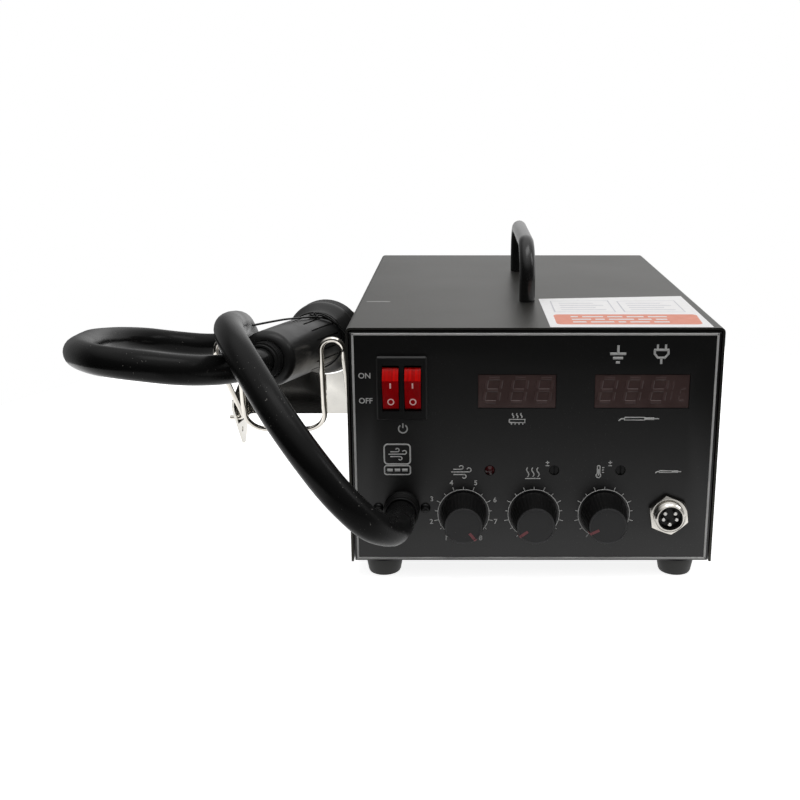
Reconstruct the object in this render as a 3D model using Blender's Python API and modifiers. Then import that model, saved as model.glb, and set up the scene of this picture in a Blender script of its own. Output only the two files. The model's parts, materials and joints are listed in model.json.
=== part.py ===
"""Hot air rework station: a folded steel cabinet whose hose-fed handpiece lies in a side holder.

X is to the right, Y to the back and Z up, in metres. The origin is the middle of the tray's underside.
"""
import math

import bmesh
import bpy
from mathutils import Quaternion, Vector

# Cabinet sheet metal
BODY_WIDTH = 0.188
BODY_DEPTH = 0.245
BODY_HEIGHT = 0.125
SHEET = 0.0012
COVER_BEND = 0.0024
TRAY_BEND = 0.0020
TOP_FLANGE = 0.010
SIDE_FLANGE = 0.014
SEAM = 0.00075
CLEAR = 0.0003
HOLE_FIT = 0.0003
VENT_WIDTH = 0.0026
VENT_HEIGHT = 0.026
VENT_PITCH = 0.0080
VENT_COUNT = 6
SIDE_VENT_Y = 0.073
SIDE_VENT_Z = 0.073
REAR_VENT_X = 0.035
REAR_VENT_Z = 0.080
FLOOR_VENT_Y = -0.030

# Feet and screws
FOOT_TOP_RADIUS = 0.0100
FOOT_LOW_RADIUS = 0.0082
FOOT_HEIGHT = 0.010
FOOT_STUD_RADIUS = 0.0024
FOOT_INSET_X = 0.0165
FOOT_INSET_Y = 0.012
COVER_SCREW_INSET = 0.0325
COVER_SCREW_Y = BODY_DEPTH / 2 - COVER_SCREW_INSET
COVER_SCREW_Z = 0.008
SCREW_RADIUS = 0.0015
SCREW_HEAD_RADIUS = 0.0026
SCREW_HEAD_HEIGHT = 0.0018
NUT_RADIUS = 0.0028
NUT_HEIGHT = 0.0024

# Carrying handle
HANDLE_RADIUS = 0.0044
HANDLE_SPAN = 0.106
HANDLE_RISE = 0.0305
HANDLE_BEND = 0.019
HANDLE_SCREW_RADIUS = 0.0020
HANDLE_SCREW_DEPTH = 0.011

# Twin power switch
SWITCH_X = -0.0663
SWITCH_Z = BODY_HEIGHT * 0.7552
BEZEL_WIDTH = 0.0255
BEZEL_HEIGHT = 0.033
BEZEL_PROUD = 0.0019
SWITCH_BODY_WIDTH = 0.0222
SWITCH_BODY_HEIGHT = 0.0296
SWITCH_BODY_DEPTH = 0.0150
ROCKER_PITCH = 0.01105
ROCKER_WIDTH = 0.0080
ROCKER_RADIUS = 0.0140
ROCKER_FLAT = 0.0116
ROCKER_HALF_ANGLE = 64.0
ROCKER_HUB_RADIUS = 0.0026
ROCKER_PIVOT_DEPTH = 0.0080
ROCKER_TILT = 14.5
ROCKER_PIN_RADIUS = 0.0012
ROCKER_PIN_REACH = 0.0006
SLOT_HEIGHT = 0.0237
LUG_WIDTH = 0.0048
LUG_THICKNESS = 0.0008
LUG_LENGTH = 0.0080

# Displays
WINDOW_Z = BODY_HEIGHT * 0.7392
WINDOW_HEIGHT = 0.0178
WINDOW_LEFT_X = -0.00865
WINDOW_LEFT_WIDTH = 0.0394
WINDOW_RIGHT_X = 0.05403
WINDOW_RIGHT_WIDTH = 0.04776
WINDOW_LIP = 0.0025
WINDOW_LIP_THICKNESS = 0.0015
DIGITS_HEIGHT = 0.0190
DIGITS_DEPTH = 0.0080
DIGITS_LEFT_WIDTH = 0.0376
DIGITS_RIGHT_WIDTH = 0.0502
BOARD_THICKNESS = 0.0016
DISPLAY_BOARD_LOW = BODY_HEIGHT * 0.336
DISPLAY_BOARD_TOP = BODY_HEIGHT * 0.896
DISPLAY_BOARD_LEFT = -0.0480
DISPLAY_BOARD_RIGHT = 0.0860
DISPLAY_POST_RADIUS = 0.0028

# Small parts on the panel
LAMP_X = -0.0220
LAMP_Z = BODY_HEIGHT * 0.404
LAMP_RADIUS = 0.0025
LAMP_PROUD = 0.0014
TRIMMER_XS = (0.0109, 0.0448)
TRIMMER_Z = BODY_HEIGHT * 0.404
TRIMMER_RADIUS = 0.0024
TRIMMER_SINK = 0.0006
TRIMMER_HOUSING = 0.0084
KNOB_XS = (-0.03546, 0.00082, 0.03706)
KNOB_ANGLES = (141.0, -125.0, -115.0)
KNOB_Z = BODY_HEIGHT * 0.2136
KNOB_BASE_RADIUS = 0.0120
KNOB_FACE_RADIUS = 0.0097
KNOB_HEIGHT = 0.0165
KNOB_GAP = 0.0006
KNOB_FLUTES = 20
KNOB_FLUTE_DEPTH = 0.0004
KNOB_POINTER = 0.0014
POT_RADIUS = 0.0080
POT_DEPTH = 0.0090
POT_NECK_RADIUS = 0.0042
POT_NECK_LENGTH = 0.0062
POT_SHAFT_RADIUS = 0.0030
POT_SHAFT_PROUD = 0.0145
POT_NUT_RADIUS = 0.0058
POT_NUT_HEIGHT = 0.0022

# Soldering iron socket
SOCKET_X = 0.07025
SOCKET_Z = BODY_HEIGHT * 0.21392
SOCKET_RADIUS = 0.0079
SOCKET_BORE = 0.0068
SOCKET_PROUD = 0.0070
SOCKET_DEPTH = 0.0090
SOCKET_FLANGE_RADIUS = 0.0100
SOCKET_FLANGE_THICKNESS = 0.0015
SOCKET_NUT_FLATS = 0.0180
SOCKET_NUT_HEIGHT = 0.0028
SOCKET_FACE_SINK = 0.0012
SOCKET_PIN_RADIUS = 0.0008
SOCKET_PIN_CIRCLE = 0.0042
SOCKET_PIN_COUNT = 5

# Hose outlet
HOSE_RADIUS = 0.0075
HOSE_FIT = 0.0004
GLAND_X = -0.0672
GLAND_Z = 0.0300
GLAND_RADIUS = 0.0090
GLAND_PROUD = 0.0090
GLAND_DEPTH = 0.0120
GLAND_FLANGE_THICKNESS = 0.0030
GLAND_FLANGE_HEIGHT = 0.0220
GLAND_SCREW_SPACING = 0.0242
AIR_TUBE_RADIUS = 0.0040
AIR_TUBE_PITCH = 0.012
AIR_TUBE_LEAVES = 0.009
AIR_TUBE_ARRIVES = 0.014
AIR_TUBE_BENDS = (
    Vector((-0.016, BODY_DEPTH / 4 - 0.05525, 0.042)),
    Vector((-0.038, BODY_DEPTH / 4 - 0.07325, 0.046)),
    Vector((-0.058, 0.0775 - BODY_DEPTH / 2, 0.042)),
)

# Mains inlet on the rear panel
INLET_X = -0.0600
INLET_Z = 0.0330
INLET_WIDTH = 0.0275
INLET_HEIGHT = 0.0480
INLET_FLANGE_WIDTH = 0.0320
INLET_FLANGE_HEIGHT = 0.0530
INLET_FLANGE_THICKNESS = 0.0028
INLET_DEPTH = 0.0230
INLET_MOUTH_WIDTH = 0.0225
INLET_MOUTH_HEIGHT = 0.0165
INLET_MOUTH_DEPTH = 0.0160
INLET_MOUTH_DROP = 0.0120
INLET_PIN_WIDTH = 0.0020
INLET_PIN_HEIGHT = 0.0050
INLET_PIN_LENGTH = 0.0130
DRAWER_WIDTH = 0.0210
DRAWER_HEIGHT = 0.0120
DRAWER_LENGTH = 0.0180
DRAWER_RISE = 0.0125
DRAWER_LIP = 0.0012

# Transformer, pump and boards
CORE_X = -0.0300
CORE_Y = BODY_DEPTH / 4 - 0.00525
CORE_WIDTH = 0.066
CORE_HEIGHT = 0.055
CORE_DEPTH = 0.034
CORE_LIMB = 0.022
CORE_YOKE = 0.011
WINDING_WALL = 0.0100
PUMP_X = 0.0480
PUMP_Y = 0.0500
PUMP_WIDTH = 0.060
PUMP_LENGTH = 0.096
PUMP_BASE = 0.005
PUMP_FOOT_HEIGHT = 0.008
PUMP_FOOT_RADIUS = 0.006
PUMP_FOOT_INSET = 0.008
COIL_SIZE = Vector((0.030, 0.034, 0.038))
COIL_Y = 0.022
CHAMBER_RADIUS = 0.017
CHAMBER_LENGTH = 0.018
CHAMBER_X = -0.0092
CHAMBER_Y = -0.020
NIPPLE_RADIUS = 0.003
NIPPLE_LENGTH = 0.004
ARM_THICKNESS = 0.0030
ARM_HEIGHT = 0.016
ARM_HUB_RADIUS = 0.0045
ARM_POST_RADIUS = 0.0036
ARM_POST_X = -0.0065
ARM_POST_Y = -0.044
ARM_PIVOT_RADIUS = 0.0020
MAGNET_SIZE = 0.012
MAIN_BOARD_X = 0.010
MAIN_BOARD_Y = -0.058
MAIN_BOARD_WIDTH = 0.104
MAIN_BOARD_LENGTH = 0.070
MAIN_BOARD_RISE = 0.009
MAIN_BOARD_POST_RADIUS = 0.003
MAIN_BOARD_POST_INSET = 0.005
CAPACITOR_RADIUS = 0.0065
CAPACITOR_HEIGHT = 0.020
CAPACITOR_PLACES = ((0.014, 0.020), (0.030, 0.020))
RELAY_SIZE = (0.020, 0.016, 0.015)
RELAY_PLACE = (0.040, 0.012)
TERMINAL_SIZE = (0.032, 0.008, 0.010)
TERMINAL_PLACE = (0.012, 0.042)
PLUG_SIZE = (0.028, 0.008, 0.004)
PLUG_PLACE = (0.068, 0.010)
HEAT_SINK_WIDTH = 0.040
HEAT_SINK_DEPTH = 0.016
HEAT_SINK_HEIGHT = 0.032
HEAT_SINK_WEB = 0.003
HEAT_SINK_FINS = 5
HEAT_SINK_FIN = 0.0014

# Side holder: a channel of bright sheet and a bent wire cradle
HOLDER_SHEET = 0.0015
HOLDER_WIDTH = 0.0837
HOLDER_BEND = 0.0030
PLATE_Y = 0.0370
PLATE_TOP = 0.0625
PLATE_LOW = 0.0324
WING_NOSE_Y = -0.0145
WING_NOSE_Z = 0.0530
WING_TIP_Y = 0.0160
WING_TIP_Z = 0.0165
WING_TIP_RADIUS = 0.0040
WING_ROOT_RADIUS = 0.0040
BRACKET_SCREW_YS = (0.0090, 0.0270)
BRACKET_SCREW_Z = 0.0460
WIRE_RADIUS = 0.0015
WIRE_PIVOT_Y = -0.0005
WIRE_PIVOT_Z = 0.0410
WIRE_SPARE_HOLE_Y = 0.0100
WIRE_SPARE_HOLE_Z = 0.0300
WIRE_TOP_Y = -0.0475
WIRE_TOP_Z = 0.1019
WIRE_KNEE_Z = 0.0920
WIRE_LOW_Y = -0.0365
WIRE_LOW_Z = 0.0450
WIRE_SHIN_Y = -0.0425
WIRE_SHIN_Z = 0.0620
CRADLE_WIDTH = 0.0470
CRADLE_REACH = 0.0462
EAR_RADIUS = 0.00645
CRADLE_BEND = 0.0120
WIRE_BEND = 0.0030
WIRE_KNEE_BEND = 0.0080
WIRE_SHIN_BEND = 0.0200
WIRE_END = 0.0035
WIRE_FOOT_REACH = 0.0119

# Handpiece
HANDPIECE_AIM = Vector((0.1274, 0.9840, -0.1223)).normalized()
COLLAR_REACH = 0.0327
COLLAR_AHEAD = 0.0062
COLLAR_RADIUS = 0.0245
COLLAR_RIM = 0.0120
COLLAR_FLARE = 0.0117
SADDLE_DEPTH = 0.0025
GRIP_REAR_RADIUS = 0.0155
GRIP_FRONT_RADIUS = 0.0173
GRIP_LENGTH = 0.1046
GRIP_WALL = 0.0022
GRIP_NOSE = 0.0045
GROOVE_COUNT = 16
GROOVE_WIDTH = 0.0012
GROOVE_DEPTH = 0.0006
GROOVE_START = 0.050
GROOVE_END = 0.097
RELIEF_RADIUS = 0.0110
RELIEF_PROUD = 0.0090
RELIEF_INSIDE = 0.0120
RELIEF_STEP = 0.0030
RELIEF_NOTCH = 0.0009
HOSE_SEAT = 0.0030
BARREL_RADIUS = 0.0110
BARREL_WALL = 0.0009
BARREL_START = 0.070
BARREL_END = 0.189
NOZZLE_SLEEVE = 0.014
NOZZLE_WALL = 0.0010
NOZZLE_MOUTH_RADIUS = 0.0050
NOZZLE_TAPER = 0.018
NOZZLE_SPOUT = 0.010

# Tie cord
TIE_RADIUS = 0.0006

# Places that the sizes above settle
SIDE = BODY_WIDTH / 2
FRONT = -BODY_DEPTH / 2
REAR = BODY_DEPTH / 2
COVER_INSIDE = SIDE - SHEET
TRAY_SIDE = COVER_INSIDE - SEAM
TRAY_TOP = BODY_HEIGHT - SHEET - CLEAR
PANEL_BACK = FRONT + SHEET
REAR_INSIDE = REAR - SHEET
FLOOR = SHEET
SEAT = FLOOR + CLEAR
TOWARD_VIEWER = Vector((0, -1, 0))
BACKWARD = Vector((0, 1, 0))
UPWARD = Vector((0, 0, 1))
LEFTWARD = Vector((-1, 0, 0))
RIGHTWARD = Vector((1, 0, 0))
COLLAR_CENTRE = Vector((
    -SIDE - COLLAR_REACH,
    PLATE_Y - COLLAR_AHEAD,
    PLATE_TOP - SADDLE_DEPTH + COLLAR_RADIUS + CLEAR,
))
HANDPIECE_REAR = COLLAR_CENTRE - HANDPIECE_AIM * (GRIP_LENGTH + COLLAR_FLARE + CLEAR)
DISPLAY_FACE = PANEL_BACK + WINDOW_LIP_THICKNESS + 2 * CLEAR
DISPLAY_BOARD_FACE = DISPLAY_FACE + DIGITS_DEPTH + CLEAR

# Hose route, in metres, chosen by eye along the photographed loop
HOSE_ROUTE = [
    (-0.0672, -0.1205, 0.0300), (-0.0672, -0.1280, 0.0300), (-0.0672, -0.1360, 0.0300),
    (-0.0671, -0.1607, 0.0363), (-0.0694, -0.1724, 0.0390), (-0.0779, -0.1865, 0.0481),
    (-0.0853, -0.1904, 0.0569), (-0.0934, -0.1910, 0.0665), (-0.1013, -0.1894, 0.0765),
    (-0.1100, -0.1847, 0.0868), (-0.1185, -0.1780, 0.0965), (-0.1259, -0.1697, 0.1046),
    (-0.1399, -0.1480, 0.1165), (-0.1465, -0.1337, 0.1197), (-0.1522, -0.1169, 0.1208),
    (-0.1566, -0.0986, 0.1200), (-0.1610, -0.0590, 0.1132), (-0.1622, -0.0450, 0.1095),
    (-0.1638, -0.0310, 0.1040), (-0.1655, -0.0140, 0.0962), (-0.1690, 0.0040, 0.0890),
    (-0.1770, 0.0200, 0.0835), (-0.1895, 0.0310, 0.0803), (-0.2050, 0.0360, 0.0790),
    (-0.2220, 0.0340, 0.0810), (-0.2370, 0.0240, 0.0853), (-0.2470, 0.0080, 0.0894),
    (-0.2515, -0.0120, 0.0933), (-0.2515, -0.0320, 0.0969), (-0.2460, -0.0650, 0.1015),
    (-0.2360, -0.0980, 0.1070), (-0.2240, -0.1230, 0.1110), (-0.2090, -0.1410, 0.1130),
    (-0.1900, -0.1480, 0.1125), (-0.1710, -0.1430, 0.1090), (-0.1560, -0.1270, 0.1048),
    (-0.1470, -0.1090, 0.1020),
]
HOSE_STEP = 0.0150
TIE_ROUTE = [
    (-0.1518, -0.0620, 0.1132), (-0.1432, -0.0496, 0.1127), (-0.1377, -0.0372, 0.1114),
    (-0.1329, -0.0249, 0.1095), (-0.1287, -0.0134, 0.1077), (-0.1250, -0.0040, 0.1057),
    (-0.1209, 0.0033, 0.1034), (-0.1173, 0.0086, 0.1009), (-0.1145, 0.0120, 0.0983),
    (-0.1123, 0.0139, 0.0958), (-0.1105, 0.0149, 0.0931), (-0.1093, 0.0149, 0.0902),
]
TIE_STEP = 0.008

PARTS = "hot_air_rework_station"
CUTTERS = "cutters"


def clear_scene():
    for item in list(bpy.data.objects):
        bpy.data.objects.remove(item, do_unlink=True)


def collection(name):
    found = bpy.data.collections.get(name)
    if found is None:
        found = bpy.data.collections.new(name)
        bpy.context.scene.collection.children.link(found)
    return found


def finish(name, color, roughness, metallic=0.0):
    """Principled material, made once for each name."""
    found = bpy.data.materials.get(name)
    if found is None:
        found = bpy.data.materials.new(name)
        found.use_nodes = True
        shader = found.node_tree.nodes["Principled BSDF"]
        shader.inputs["Base Color"].default_value = (*color, 1.0)
        shader.inputs["Roughness"].default_value = roughness
        shader.inputs["Metallic"].default_value = metallic
    return found


def black_powder():
    return finish("black_powder_coat", (0.035, 0.035, 0.033), 0.55, 0.2)


def black_plastic():
    return finish("black_plastic", (0.012, 0.012, 0.013), 0.42)


def black_rubber():
    return finish("black_rubber", (0.016, 0.016, 0.017), 0.60)


def bright_metal():
    return finish("bright_nickel", (0.72, 0.71, 0.68), 0.16, 1.0)


def steel():
    return finish("zinc_plated_steel", (0.48, 0.48, 0.47), 0.34, 1.0)


def red_plastic():
    return finish("red_translucent_plastic", (0.55, 0.004, 0.012), 0.18)


def green_board():
    return finish("green_circuit_board", (0.010, 0.110, 0.045), 0.45)


def add(name, data, material, origin=(0, 0, 0), aim=None, parent=None, helper=False):
    """Object from mesh or curve data; a helper only cuts or joins another object."""
    item = bpy.data.objects.new(name, data)
    item.location = origin
    if aim is not None:
        item.rotation_euler = Vector(aim).to_track_quat("Z", "Y").to_euler()
    if parent is not None:
        item.parent = parent
    if helper:
        item.hide_render = True
        item.display_type = "WIRE"
        collection(CUTTERS).objects.link(item)
    else:
        data.materials.append(material)
        collection(PARTS).objects.link(item)
    return item


def mesh_from(bm, name):
    bmesh.ops.recalc_face_normals(bm, faces=bm.faces[:])
    mesh = bpy.data.meshes.new(name)
    bm.to_mesh(mesh)
    bm.free()
    return mesh


def grow_box(bm, low, high):
    """Box between two opposite corners."""
    low = Vector(low)
    high = Vector(high)
    made = bmesh.ops.create_cube(bm, size=1.0)["verts"]
    bmesh.ops.scale(bm, vec=high - low, verts=made)
    bmesh.ops.translate(bm, vec=(low + high) / 2, verts=made)
    return made


def grow_rod(bm, start, end, radius, segments=12, end_radius=None):
    """Round bar or cone between two points."""
    start = Vector(start)
    end = Vector(end)
    last = radius if end_radius is None else end_radius
    made = bmesh.ops.create_cone(
        bm, cap_ends=True, segments=segments, radius1=radius, radius2=last, depth=(end - start).length
    )["verts"]
    turn = (end - start).to_track_quat("Z", "Y").to_matrix()
    bmesh.ops.rotate(bm, cent=(0, 0, 0), matrix=turn, verts=made)
    bmesh.ops.translate(bm, vec=(start + end) / 2, verts=made)
    return made


def box(name, low, high, material=None, round_edges=0.0, parent=None, helper=False):
    """Box whose origin is its middle."""
    middle = (Vector(low) + Vector(high)) / 2
    bm = bmesh.new()
    grow_box(bm, Vector(low) - middle, Vector(high) - middle)
    item = add(name, mesh_from(bm, name), material, middle, parent=parent, helper=helper)
    if round_edges:
        soften(item, round_edges)
    return item


def solid(name, bm, material=None, origin=(0, 0, 0), parent=None, helper=False):
    """Object from shapes laid in world places, with its origin at the given point."""
    bmesh.ops.translate(bm, vec=-Vector(origin), verts=bm.verts[:])
    return add(name, mesh_from(bm, name), material, origin, parent=parent, helper=helper)


def soften(item, width, segments=1, angle=40.0):
    bevel = item.modifiers.new("soft_edges", "BEVEL")
    bevel.width = width
    bevel.segments = segments
    bevel.limit_method = "ANGLE"
    bevel.angle_limit = math.radians(angle)
    return bevel


def turned(name, profile, material=None, origin=(0, 0, 0), aim=None, steps=24, ring=False,
           parent=None, helper=False):
    """Solid of revolution: (radius, height) points run down the outer side, top to bottom."""
    bm = bmesh.new()
    points = [bm.verts.new((radius, 0, height)) for radius, height in profile]
    for first, second in zip(points, points[1:]):
        bm.edges.new((first, second))
    if ring:
        bm.edges.new((points[-1], points[0]))
    mesh = bpy.data.meshes.new(name)
    bm.to_mesh(mesh)
    bm.free()
    item = add(name, mesh, material, origin, aim, parent, helper)
    screw = item.modifiers.new("turn", "SCREW")
    screw.steps = steps
    screw.render_steps = steps
    screw.use_merge_vertices = True
    screw.merge_threshold = 0.00001
    return item


def boolean(item, tool, operation="DIFFERENCE"):
    change = item.modifiers.new(tool.name, "BOOLEAN")
    change.operation = operation
    change.solver = "EXACT"
    change.object = tool
    return change


def cut(item, tool):
    return boolean(item, tool, "DIFFERENCE")


def join(item, tool):
    return boolean(item, tool, "UNION")


def arc(centre_x, centre_y, radius, start, end, steps):
    """Points on a circle from one angle to another, in degrees."""
    angles = [math.radians(start + (end - start) * step / steps) for step in range(steps + 1)]
    return [(centre_x + radius * math.cos(a), centre_y + radius * math.sin(a)) for a in angles]


def rounded(corners, radii, steps):
    """Open path through corners, each inner one bent to its radius."""
    points = [Vector(corner) for corner in corners]
    inner = points[1:-1]
    if not isinstance(radii, (list, tuple)):
        radii = [radii] * len(inner)
    path = [points[0]]
    for before, corner, after, radius in zip(points, inner, points[2:], radii):
        into = (corner - before).normalized()
        out = (after - corner).normalized()
        turn = into.angle(out)
        start = corner - into * radius * math.tan(turn / 2)
        inward = (out - into * into.dot(out)).normalized()
        for step in range(steps + 1):
            angle = turn * step / steps
            path.append(start + inward * radius * (1 - math.cos(angle)) + into * radius * math.sin(angle))
    path.append(points[-1])
    return path


def plate_data(name, outlines, thickness):
    """Flat outlines in the XY plane; the first is the edge and the others are holes."""
    curve = bpy.data.curves.new(name, "CURVE")
    curve.dimensions = "2D"
    curve.fill_mode = "BOTH"
    curve.extrude = thickness / 2
    for outline in outlines:
        spline = curve.splines.new("POLY")
        spline.points.add(len(outline) - 1)
        for point, place in zip(spline.points, outline):
            point.co = (place[0], place[1], 0, 1)
        spline.use_cyclic_u = True
    return curve


def tube(name, points, radius, material, resolution=2, parent=None):
    """Round tube along a path of points."""
    curve = bpy.data.curves.new(name, "CURVE")
    curve.dimensions = "3D"
    curve.bevel_depth = radius
    curve.bevel_resolution = resolution
    curve.use_fill_caps = True
    spline = curve.splines.new("POLY")
    spline.points.add(len(points) - 1)
    for point, place in zip(spline.points, points):
        point.co = (*place, 1)
    return add(name, curve, material, parent=parent)


def as_mesh(item, helper=False):
    """The same piece as a welded mesh, so that it can be cut."""
    bpy.context.view_layer.update()
    evaluated = item.evaluated_get(bpy.context.evaluated_depsgraph_get())
    name = item.name
    mesh = bpy.data.meshes.new_from_object(evaluated)
    bm = bmesh.new()
    bm.from_mesh(mesh)
    bmesh.ops.remove_doubles(bm, verts=bm.verts[:], dist=0.000001)
    bmesh.ops.recalc_face_normals(bm, faces=bm.faces[:])
    bm.to_mesh(mesh)
    bm.free()
    place = item.matrix_world.copy()
    parent = item.parent
    bpy.data.objects.remove(item, do_unlink=True)
    mesh.materials.clear()
    made = add(name, mesh, None, parent=parent, helper=True) if helper else add_mesh(name, mesh, parent)
    made.matrix_world = place
    return made


def add_mesh(name, mesh, parent):
    made = bpy.data.objects.new(name, mesh)
    made.parent = parent
    collection(PARTS).objects.link(made)
    return made


def smooth_route(points, step):
    """Evenly spaced points on a centripetal Catmull-Rom curve through the given ones."""
    route = [Vector(point) for point in points]
    route = [2 * route[0] - route[1]] + route + [2 * route[-1] - route[-2]]
    fine = []
    for before, start, end, after in zip(route, route[1:], route[2:], route[3:]):
        first = math.sqrt((start - before).length)
        middle = math.sqrt((end - start).length)
        last = math.sqrt((after - end).length)
        leave = (start - before) / first - (end - before) / (first + middle) + (end - start) / middle
        arrive = (end - start) / middle - (after - start) / (middle + last) + (after - end) / last
        for part in range(12):
            t = part / 12
            fine.append(
                (2 * t ** 3 - 3 * t ** 2 + 1) * start + (t ** 3 - 2 * t ** 2 + t) * middle * leave
                + (3 * t ** 2 - 2 * t ** 3) * end + (t ** 3 - t ** 2) * middle * arrive
            )
    fine.append(route[-2])
    lengths = [0.0]
    for start, end in zip(fine, fine[1:]):
        lengths.append(lengths[-1] + (end - start).length)
    count = max(2, round(lengths[-1] / step))
    even = []
    at = 0
    for number in range(count + 1):
        target = lengths[-1] * number / count
        while at < len(lengths) - 2 and lengths[at + 1] < target:
            at += 1
        share = (target - lengths[at]) / (lengths[at + 1] - lengths[at])
        even.append(fine[at].lerp(fine[at + 1], share))
    return even


def strip(name, path, sweep, thickness, material):
    """Sheet bent along a path and swept sideways, its thickness to the inner side."""
    bm = bmesh.new()
    points = [bm.verts.new(point) for point in path]
    edges = [bm.edges.new(pair) for pair in zip(points, points[1:])]
    swept = bmesh.ops.extrude_edge_only(bm, edges=edges)["geom"]
    moved = [part for part in swept if isinstance(part, bmesh.types.BMVert)]
    bm.normal_update()
    bmesh.ops.translate(bm, vec=sweep, verts=moved)
    bm.normal_update()
    middle = sum((vert.co for vert in bm.verts), Vector()) / len(bm.verts)
    widest = max(bm.faces, key=lambda face: face.calc_area())
    if widest.normal.dot(widest.calc_center_median() - middle) < 0:
        bmesh.ops.reverse_faces(bm, faces=bm.faces[:])
    mesh = bpy.data.meshes.new(name)
    bm.to_mesh(mesh)
    bm.free()
    item = add(name, mesh, material)
    shell = item.modifiers.new("sheet", "SOLIDIFY")
    shell.thickness = thickness
    shell.offset = -1
    shell.use_even_offset = True
    return item


def panel_hole(bm, x, z, radius, segments=12):
    """Round cut through the front panel."""
    grow_rod(bm, (x, FRONT - 0.002, z), (x, PANEL_BACK + 0.002, z), radius, segments)


def panel_slot(bm, x, z, width, height):
    """Rectangular cut through the front panel."""
    grow_box(
        bm, (x - width / 2, FRONT - 0.002, z - height / 2),
        (x + width / 2, PANEL_BACK + 0.002, z + height / 2)
    )


def foot_places():
    return [
        (side * (SIDE - FOOT_INSET_X), end * (REAR - FOOT_INSET_Y))
        for end in (-1, 1) for side in (-1, 1)
    ]


def make_tray():
    """Floor, front panel and rear panel folded from one sheet, with flanges for the cover."""
    corners = [
        (-TRAY_SIDE, FRONT + TOP_FLANGE, TRAY_TOP), (-TRAY_SIDE, FRONT, TRAY_TOP), (-TRAY_SIDE, FRONT, 0),
        (-TRAY_SIDE, REAR, 0), (-TRAY_SIDE, REAR, TRAY_TOP), (-TRAY_SIDE, REAR - TOP_FLANGE, TRAY_TOP),
    ]
    path = rounded(corners, TRAY_BEND, 3)
    tray = strip("chassis_tray", path, (2 * TRAY_SIDE, 0, 0), SHEET, black_powder())
    flanges = bmesh.new()
    flange_end = REAR - TRAY_BEND - SHEET
    for side in (-1, 1):
        outer = side * TRAY_SIDE
        inner = side * (TRAY_SIDE - SHEET)
        grow_box(flanges, (min(outer, inner), -flange_end, 0), (max(outer, inner), flange_end, SIDE_FLANGE))
    join(tray, solid("tray_side_flanges", flanges, helper=True))

    holes = bmesh.new()
    panel_slot(
        holes, SWITCH_X, SWITCH_Z, SWITCH_BODY_WIDTH + 2 * HOLE_FIT, SWITCH_BODY_HEIGHT + 2 * HOLE_FIT
    )
    panel_slot(holes, WINDOW_LEFT_X, WINDOW_Z, WINDOW_LEFT_WIDTH, WINDOW_HEIGHT)
    panel_slot(holes, WINDOW_RIGHT_X, WINDOW_Z, WINDOW_RIGHT_WIDTH, WINDOW_HEIGHT)
    panel_hole(holes, LAMP_X, LAMP_Z, LAMP_RADIUS + HOLE_FIT)
    for x in TRIMMER_XS:
        panel_hole(holes, x, TRIMMER_Z, TRIMMER_RADIUS + HOLE_FIT)
    for x in KNOB_XS:
        panel_hole(holes, x, KNOB_Z, POT_NECK_RADIUS + HOLE_FIT)
    panel_hole(holes, SOCKET_X, SOCKET_Z, SOCKET_RADIUS + HOLE_FIT, 20)
    panel_hole(holes, GLAND_X, GLAND_Z, GLAND_RADIUS + HOLE_FIT, 20)
    for side in (-1, 1):
        panel_hole(holes, GLAND_X + side * GLAND_SCREW_SPACING / 2, GLAND_Z, SCREW_RADIUS + HOLE_FIT, 12)
    for x, y in foot_places():
        grow_rod(holes, (x, y, -0.002), (x, y, FLOOR + 0.002), FOOT_STUD_RADIUS + HOLE_FIT, 12)
    for number in range(VENT_COUNT):
        x = (number - (VENT_COUNT - 1) / 2) * VENT_PITCH
        grow_box(
            holes, (REAR_VENT_X + x - VENT_WIDTH / 2, REAR_INSIDE - 0.002, REAR_VENT_Z - VENT_HEIGHT / 2),
            (REAR_VENT_X + x + VENT_WIDTH / 2, REAR + 0.002, REAR_VENT_Z + VENT_HEIGHT / 2)
        )
        grow_box(
            holes, (x - VENT_WIDTH / 2, FLOOR_VENT_Y - VENT_HEIGHT / 2, -0.002),
            (x + VENT_WIDTH / 2, FLOOR_VENT_Y + VENT_HEIGHT / 2, FLOOR + 0.002)
        )
    grow_box(
        holes,
        (INLET_X - INLET_WIDTH / 2 - HOLE_FIT, REAR_INSIDE - 0.002, INLET_Z - INLET_HEIGHT / 2 - HOLE_FIT),
        (INLET_X + INLET_WIDTH / 2 + HOLE_FIT, REAR + 0.002, INLET_Z + INLET_HEIGHT / 2 + HOLE_FIT)
    )
    for y in (-COVER_SCREW_Y, COVER_SCREW_Y):
        for side in (-1, 1):
            grow_rod(
                holes, (side * (TRAY_SIDE - 0.003), y, COVER_SCREW_Z),
                (side * (TRAY_SIDE + 0.002), y, COVER_SCREW_Z),
                SCREW_RADIUS + HOLE_FIT, 12
            )
    cut(tray, solid("tray_holes", holes, helper=True))


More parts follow.
